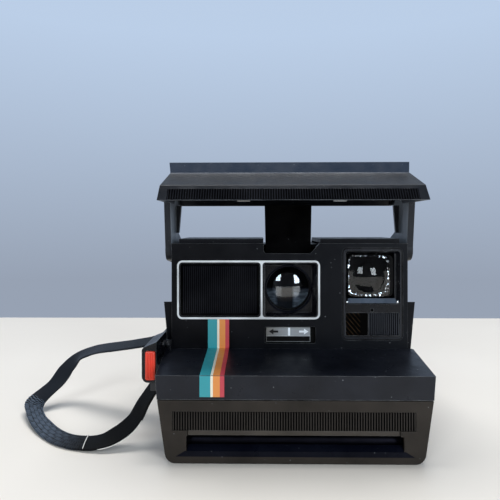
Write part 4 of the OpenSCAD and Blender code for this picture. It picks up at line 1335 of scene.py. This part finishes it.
@dataclass
class Controls(SubAssembly):
    """The exposure slider with its arrows and the ribbed shutter button."""

    button_ribs: int = 5
    mark: float = 0.07

    def build(self) -> None:
        """Dresses the fixed parts, and builds the slider's marks and ledge, the bracket and the button."""
        self.dress(INNER, "slider_track")
        self.dress(GREY, "exposure_slider", edge=0.12)
        self.dress(SATIN, "button_housing", edge=0.45)
        self.dress(SPRING, "button_spring")
        self.marks()
        self.bracket()
        self.button()

    def marks(self) -> None:
        """Builds the two arrows, the centre line and the ribbed grip ledge on the slider."""
        lo, hi = box("exposure_slider")
        face = lo.y + 0.3
        z = hi.z - 2.2
        long, half, neck, stem = 4.6, 1.45, 2.2, 0.5
        upper = [(0, 0), (-neck, half), (-neck, stem), (-long, stem)]
        arrow = upper + [(a, -b) for a, b in reversed(upper[1:])]
        for name, outline, ink in (
            ("slider_arrow_left", [(lo.x + 1.4 - a, z + b) for a, b in arrow], INK),
            ("slider_arrow_right", [(hi.x - 0.9 + a, z + b) for a, b in arrow], CHALK),
            ("slider_centre_line", rounded(-0.55, z - 2.0, 0.55, z + 2.0, 0.2, 3), CHALK),
        ):
            mark = Shell()
            mark.slab(outline, face - self.mark, face + 0.05)
            mark.piece(name, "exposure_slider", [ink], shading=Shading.FLAT)
        ledge = Shell()
        start = Vector((lo.x + 0.2, face, lo.z + 0.2))
        ledge.ribs(start, (hi.x - lo.x - 0.4, 2.5), RibSection(1.1, 0.42, 0.34, 0.6))
        ledge.piece("slider_grip_ledge", "exposure_slider", [INNER])

    def bracket(self) -> None:
        """Builds the small bracket and its two knobs between the button's housing and the lens panel."""
        plate = Shell()
        plate.slab(rounded(-62.2, 38.4, -58.3, 44.2, 0.8, 3), -42.6, -39.0, soft=0.4)
        plate.piece("button_bracket", "body", [SATIN])
        knobs = Shell()
        for x, y, z, r in ((-60.7, -50, 44.4, 1.1), (-59.3, -45, 43.2, 1.3)):
            turns = [math.pi * k / 16 for k in range(9)]
            dome = [(r * math.sin(a), y - r * math.cos(a)) for a in turns]
            knobs.lathe(dome + [(r, y + 4), (0.0, y + 4)], (x, z), 24)
        knobs.piece("bracket_knobs", "body", [WORN])

    def button(self) -> None:
        """Builds the button: a rounded block with upright ribs on its face."""
        lo, hi = box("shutter_button")
        face = lo.y + 0.55
        cap = Shell()
        cap.slab(rounded(lo.x, lo.z, hi.x, hi.z, 0.9), face, hi.y, soft=0.5)
        inset = 0.35
        wide = (hi.x - lo.x - 2 * inset) / self.button_ribs
        turns = [math.pi * k / 8 for k in range(9)]
        for i in range(self.button_ribs):
            x = lo.x + inset + i * wide
            rings = []
            for z, rise in ((lo.z + 0.5, 0.1), (lo.z + 1.1, 0.5), (hi.z - 1.1, 0.5), (hi.z - 0.5, 0.1)):
                middle = x + wide / 2
                crest = [(middle - 0.42 * wide * math.cos(a), face - rise * math.sin(a), z) for a in turns]
                rings.append([*crest, (x + 0.92 * wide, face + 0.4, z), (x + 0.08 * wide, face + 0.4, z)])
            cap.tube(rings)
        cap.piece("ribbed_button", "shutter_button", [RED], ["shutter_button"])


# ---------------------------------------------------------------- hood


@dataclass
class Hood(SubAssembly):
    """The raised hood with its ribbed lip, its arms and the sliding lens door."""

    rib_half: float = 56.2
    rib_low: float = 0.3
    rib_high: float = 5.9
    lip_slope: tuple[float, float] = (4.5, 7.0)

    def build(self) -> None:
        """Dresses the hood's parts, and builds the lip's ribs and the liner's clips."""
        self.dress(HOOD, "hood_cover", edge=0.6)
        self.dress(ARM, "hood_arm_left", "hood_arm_right", edge=0.45)
        self.dress(INNER, "hood_liner", edge=0.2)
        self.dress(SATIN, "hood_pivots", edge=0.3)
        self.dress(STRUT, "lens_door", edge=0.3)
        self.lip_ribs()
        self.clips()

    def lip_ribs(self) -> None:
        """Builds the fine upright ribs on the lip's slanting face."""
        lo, _ = box("hood_cover")
        back, rise = self.lip_slope
        up = Vector((0, back, rise)).normalized()
        out = Vector((0, -rise, back)).normalized()
        start = Vector((-self.rib_half, lo.y, lo.z)) + up * self.rib_low - out * 0.3
        strip = Shell()
        section = RibSection(1.13, 0.66, 0.36, 0.36)
        strip.ribs(start, (2 * self.rib_half, self.rib_high), section, 1, 0, up, out)
        # The grooves' near-black finish is painted shade.
        strip.piece("hood_lip_ribs", "hood", [SHADED_GROOVE, DARK_CREST])

    def clips(self) -> None:
        """Builds the two clips that hold the liner, under the front of the hood."""
        lo, _ = box("hood_liner")
        clips = Shell()
        for x in (-22, 22):
            outline = rounded(x - 3, lo.z - 0.9, x + 3, lo.z + 1.2, 0.4, 3)
            clips.slab(outline, lo.y + 2.2, lo.y + 4.4, soft=0.2)
        clips.piece("hood_liner_clips", "hood", [GREY])


# ---------------------------------------------------------------- film door and drive


@dataclass
class FilmDoor(SubAssembly):
    """The drop-down door with its ribbed band, its exit lip, the rollers and the drive."""

    pitch: float = 1.12

    def build(self) -> None:
        """Dresses the door and the drive, and builds the band and the exit slot's trim."""
        self.dress(DOOR, "film_door", edge=0.45)
        # The rollers and their frame are near-black as painted shade in the exit slot.
        self.dress(SHADED_ROLLER, "roller_frame", "upper_roller", "lower_roller")
        self.dress(STEEL, "hinge_pins", "drive_gear_stud")
        self.dress(ACETAL, "upper_roller_gear", "lower_roller_gear", "drive_gear", "motor_pinion")
        self.dress(TIN, "motor")
        self.dress(SATIN, "door_latch", edge=0.15)
        self.band()
        self.slot_trim()

    def band(self) -> None:
        """Builds the ribbed band across the door."""
        lo, hi = box("door_band")
        thick = hi.y - lo.y
        band = Shell()
        section = RibSection(self.pitch, thick, thick - 0.5, 0.44)
        band.ribs(Vector((lo.x, hi.y, lo.z)), (hi.x - lo.x, hi.z - lo.z), section, 0, 1)
        # The grooves' near-black finish is painted shade.
        band.piece("ribbed_door_band", "film_door", [BAND, SHADED_GROOVE], ["door_band"])

    def slot_trim(self) -> None:
        """Builds the glossy lip in the exit slot, the facing below it and the plain strip above it."""
        front = box("film_door")[0].y
        half, foot, top, deep = 45.8, 5.31, 7.05, 2.85
        rows = []
        for i in range(9):
            t = i / 8
            bow = 0.16 * math.sin(math.pi * t)
            rows.append((front + 0.12 + deep * t - 0.4 * bow, foot + (top - foot) * t + bow))
        outline = rows + [(y + 0.25, z - 0.4) for y, z in reversed(rows)]
        lip = Shell()
        lip.tube([[(x, y, z) for y, z in outline] for x in (-half, half)])
        lip.piece("exit_slot_lip", "film_door", [GLOSSY])
        slope = Shell()
        slope.slab([(-50.5, 3.0), (50.5, 3.0), (46.6, 5.3), (-46.6, 5.3)], front - 0.1, front + 0.1)
        slope.piece("exit_slot_slope", "film_door", [GLOSSY], shading=Shading.FLAT)
        strip = Shell()
        strip.slab(rounded(-45.4, 11.75, 44.4, 13.75, 0.3, 3), front + 0.85, front + 1.15, soft=0.1)
        strip.piece("plain_strip", "film_door", [STRIP])


@dataclass
class InnerParts(SubAssembly):
    """The light path, the film pack, the board and the film counter."""

    ticks: int = 10

    def build(self) -> None:
        """Dresses the inner parts and builds the counter's ticks."""
        self.dress(SILVERED, "mirror")
        self.dress(INNER, "mirror_carrier", "exposure_chamber")
        self.dress(BOARD, "circuit_board")
        self.dress(PACK, "film_pack")
        self.dress(FILM, "film_sheets")
        self.dress(BATTERY, "pack_battery")
        self.dress(SPRING, "pack_spring")
        self.dress(WHITE, "counter_wheel")
        self.dress(PANE, "counter_window")
        self.counter_ticks()

    def counter_ticks(self) -> None:
        """Builds the ticks round the counter wheel, one for each sheet of film."""
        lo, hi = box("counter_wheel")
        r = (hi.x - lo.x) / 2
        middle = Vector(((lo.x + hi.x) / 2, (lo.y + hi.y) / 2, (lo.z + 1 + hi.z) / 2))
        ticks = Shell()
        for k in range(self.ticks):
            a = math.radians(90 - 30 * k)
            out, side = Vector((math.cos(a), math.sin(a), 0)), Vector((-math.sin(a), math.cos(a), 0))
            high = 4.6 if k % 5 == 0 else 3.0
            section = ((-0.1, -0.3), (0.08, -0.3), (0.08, 0.3), (-0.1, 0.3))
            ring = [middle + out * (r + s) + side * w for s, w in section]
            ticks.tube([[p + UP * (s * high / 2) for p in ring] for s in (-1, 1)])
        ticks.piece("counter_ticks", "counter_wheel", [INK], shading=Shading.FLAT)


# ---------------------------------------------------------------- studio


@dataclass
class Studio:
    """The floor, the soft lights, the backdrop's light and the camera, in metres and degrees."""

    camera_place: Point = (-0.015783, -0.277194, 0.099991)
    camera_turn: Point = (90.045, 0.063, 0.8696)
    focal: float = 34.465
    lift: float = -0.0464
    floor_half: float = 0.9
    floor_back: float = 0.25

    def build(self) -> None:
        """Builds the whole set."""
        self.camera()
        self.floor()
        self.backdrop()
        bpy.context.scene.view_settings.view_transform = "Standard"
        aim, size, sky = (0.0, -0.03, 0.07), (0.40, 0.58), (0.84, 0.92, 1.0)
        self.softbox("overhead", (0.0, 0.18, 1.30), (0.0, 0.0, 0.0), (0.9, 0.5), 15.0, (0.96, 0.98, 1.0))
        self.softbox("window_left", (-0.480, -1.068, 0.570), aim, size, 5.5, sky)
        self.softbox("window_right", (0.577, -1.008, 0.440), aim, size, 7.0, sky)

    def camera(self) -> None:
        """Builds the camera."""
        data = bpy.data.cameras.new("view")
        data.lens = self.focal
        data.sensor_width = 36.0
        data.shift_y = self.lift
        data.clip_start = 0.01
        thing = bpy.data.objects.new("view", data)
        thing.location = self.camera_place
        thing.rotation_euler = tuple(math.radians(a) for a in self.camera_turn)
        bpy.context.scene.collection.objects.link(thing)
        bpy.context.scene.camera = thing

    def floor(self) -> None:
        """Builds the plain pale floor."""
        look = Shader("pale_floor")
        colour = look.blend(look.noise(120), (0.79, 0.73, 0.65), (0.85, 0.79, 0.71))
        look.dress(Base_Color=colour, Roughness=0.5)
        mesh = bpy.data.meshes.new("floor")
        h, back = self.floor_half, self.floor_back
        mesh.from_pydata([(-h, -h, 0), (h, -h, 0), (h, back, 0), (-h, back, 0)], [], [(0, 1, 2, 3)])
        mesh.materials.append(look.material)
        thing = bpy.data.objects.new("floor", mesh)
        bpy.context.scene.collection.objects.link(thing)

    def backdrop(self) -> None:
        """Sets the world's light: a pale blue-grey backdrop behind and a dim room in front."""
        world = bpy.data.worlds.new("room")
        bpy.context.scene.world = world
        world.use_nodes = True
        look = NodeTree(world.node_tree)
        direction = look.node("TexCoord", {}).outputs["Generated"]
        height, depth = look.part(direction, "Z"), look.part(direction, "Y")
        wall = look.blend(look.span(height, -0.10, 0.37), (0.31, 0.36, 0.45), (0.50, 0.62, 0.80))
        behind = look.maths(look.span(depth, -0.25, 0.20), look.span(height, 0.50, 0.72, (1.0, 0.12)))
        room = look.blend(behind, (0.045, 0.048, 0.055), wall)
        look.feed(look.nodes["Background"].inputs["Color"], room)

    def softbox(self, name: str, place: Point, aim: Point, size: tuple[float, float], power: float,
                colour: Colour) -> None:
        """Builds a soft light.

        Args:
            name: Its name.
            place: Where it is.
            aim: What it points at.
            size: Its width and height.
            power: Its power, in watts.
            colour: Its colour.
        """
        data = bpy.data.lights.new(name, "AREA")
        data.shape = "RECTANGLE"
        data.size, data.size_y = size
        data.energy = power
        data.color = colour
        thing = bpy.data.objects.new(name, data)
        thing.location = place
        thing.rotation_euler = (Vector(aim) - Vector(place)).to_track_quat("-Z", "Y").to_euler()
        bpy.context.scene.collection.objects.link(thing)


def main() -> None:
    """Builds the camera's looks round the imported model."""
    logging.basicConfig(level=logging.INFO, format="%(message)s")
    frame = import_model()
    Studio().build()
    for part in (Strap, Casing, TakingLens, Viewfinder, Controls, Hood, FilmDoor, InnerParts):
        part(frame).build()


if __name__ == "__main__":
    main()
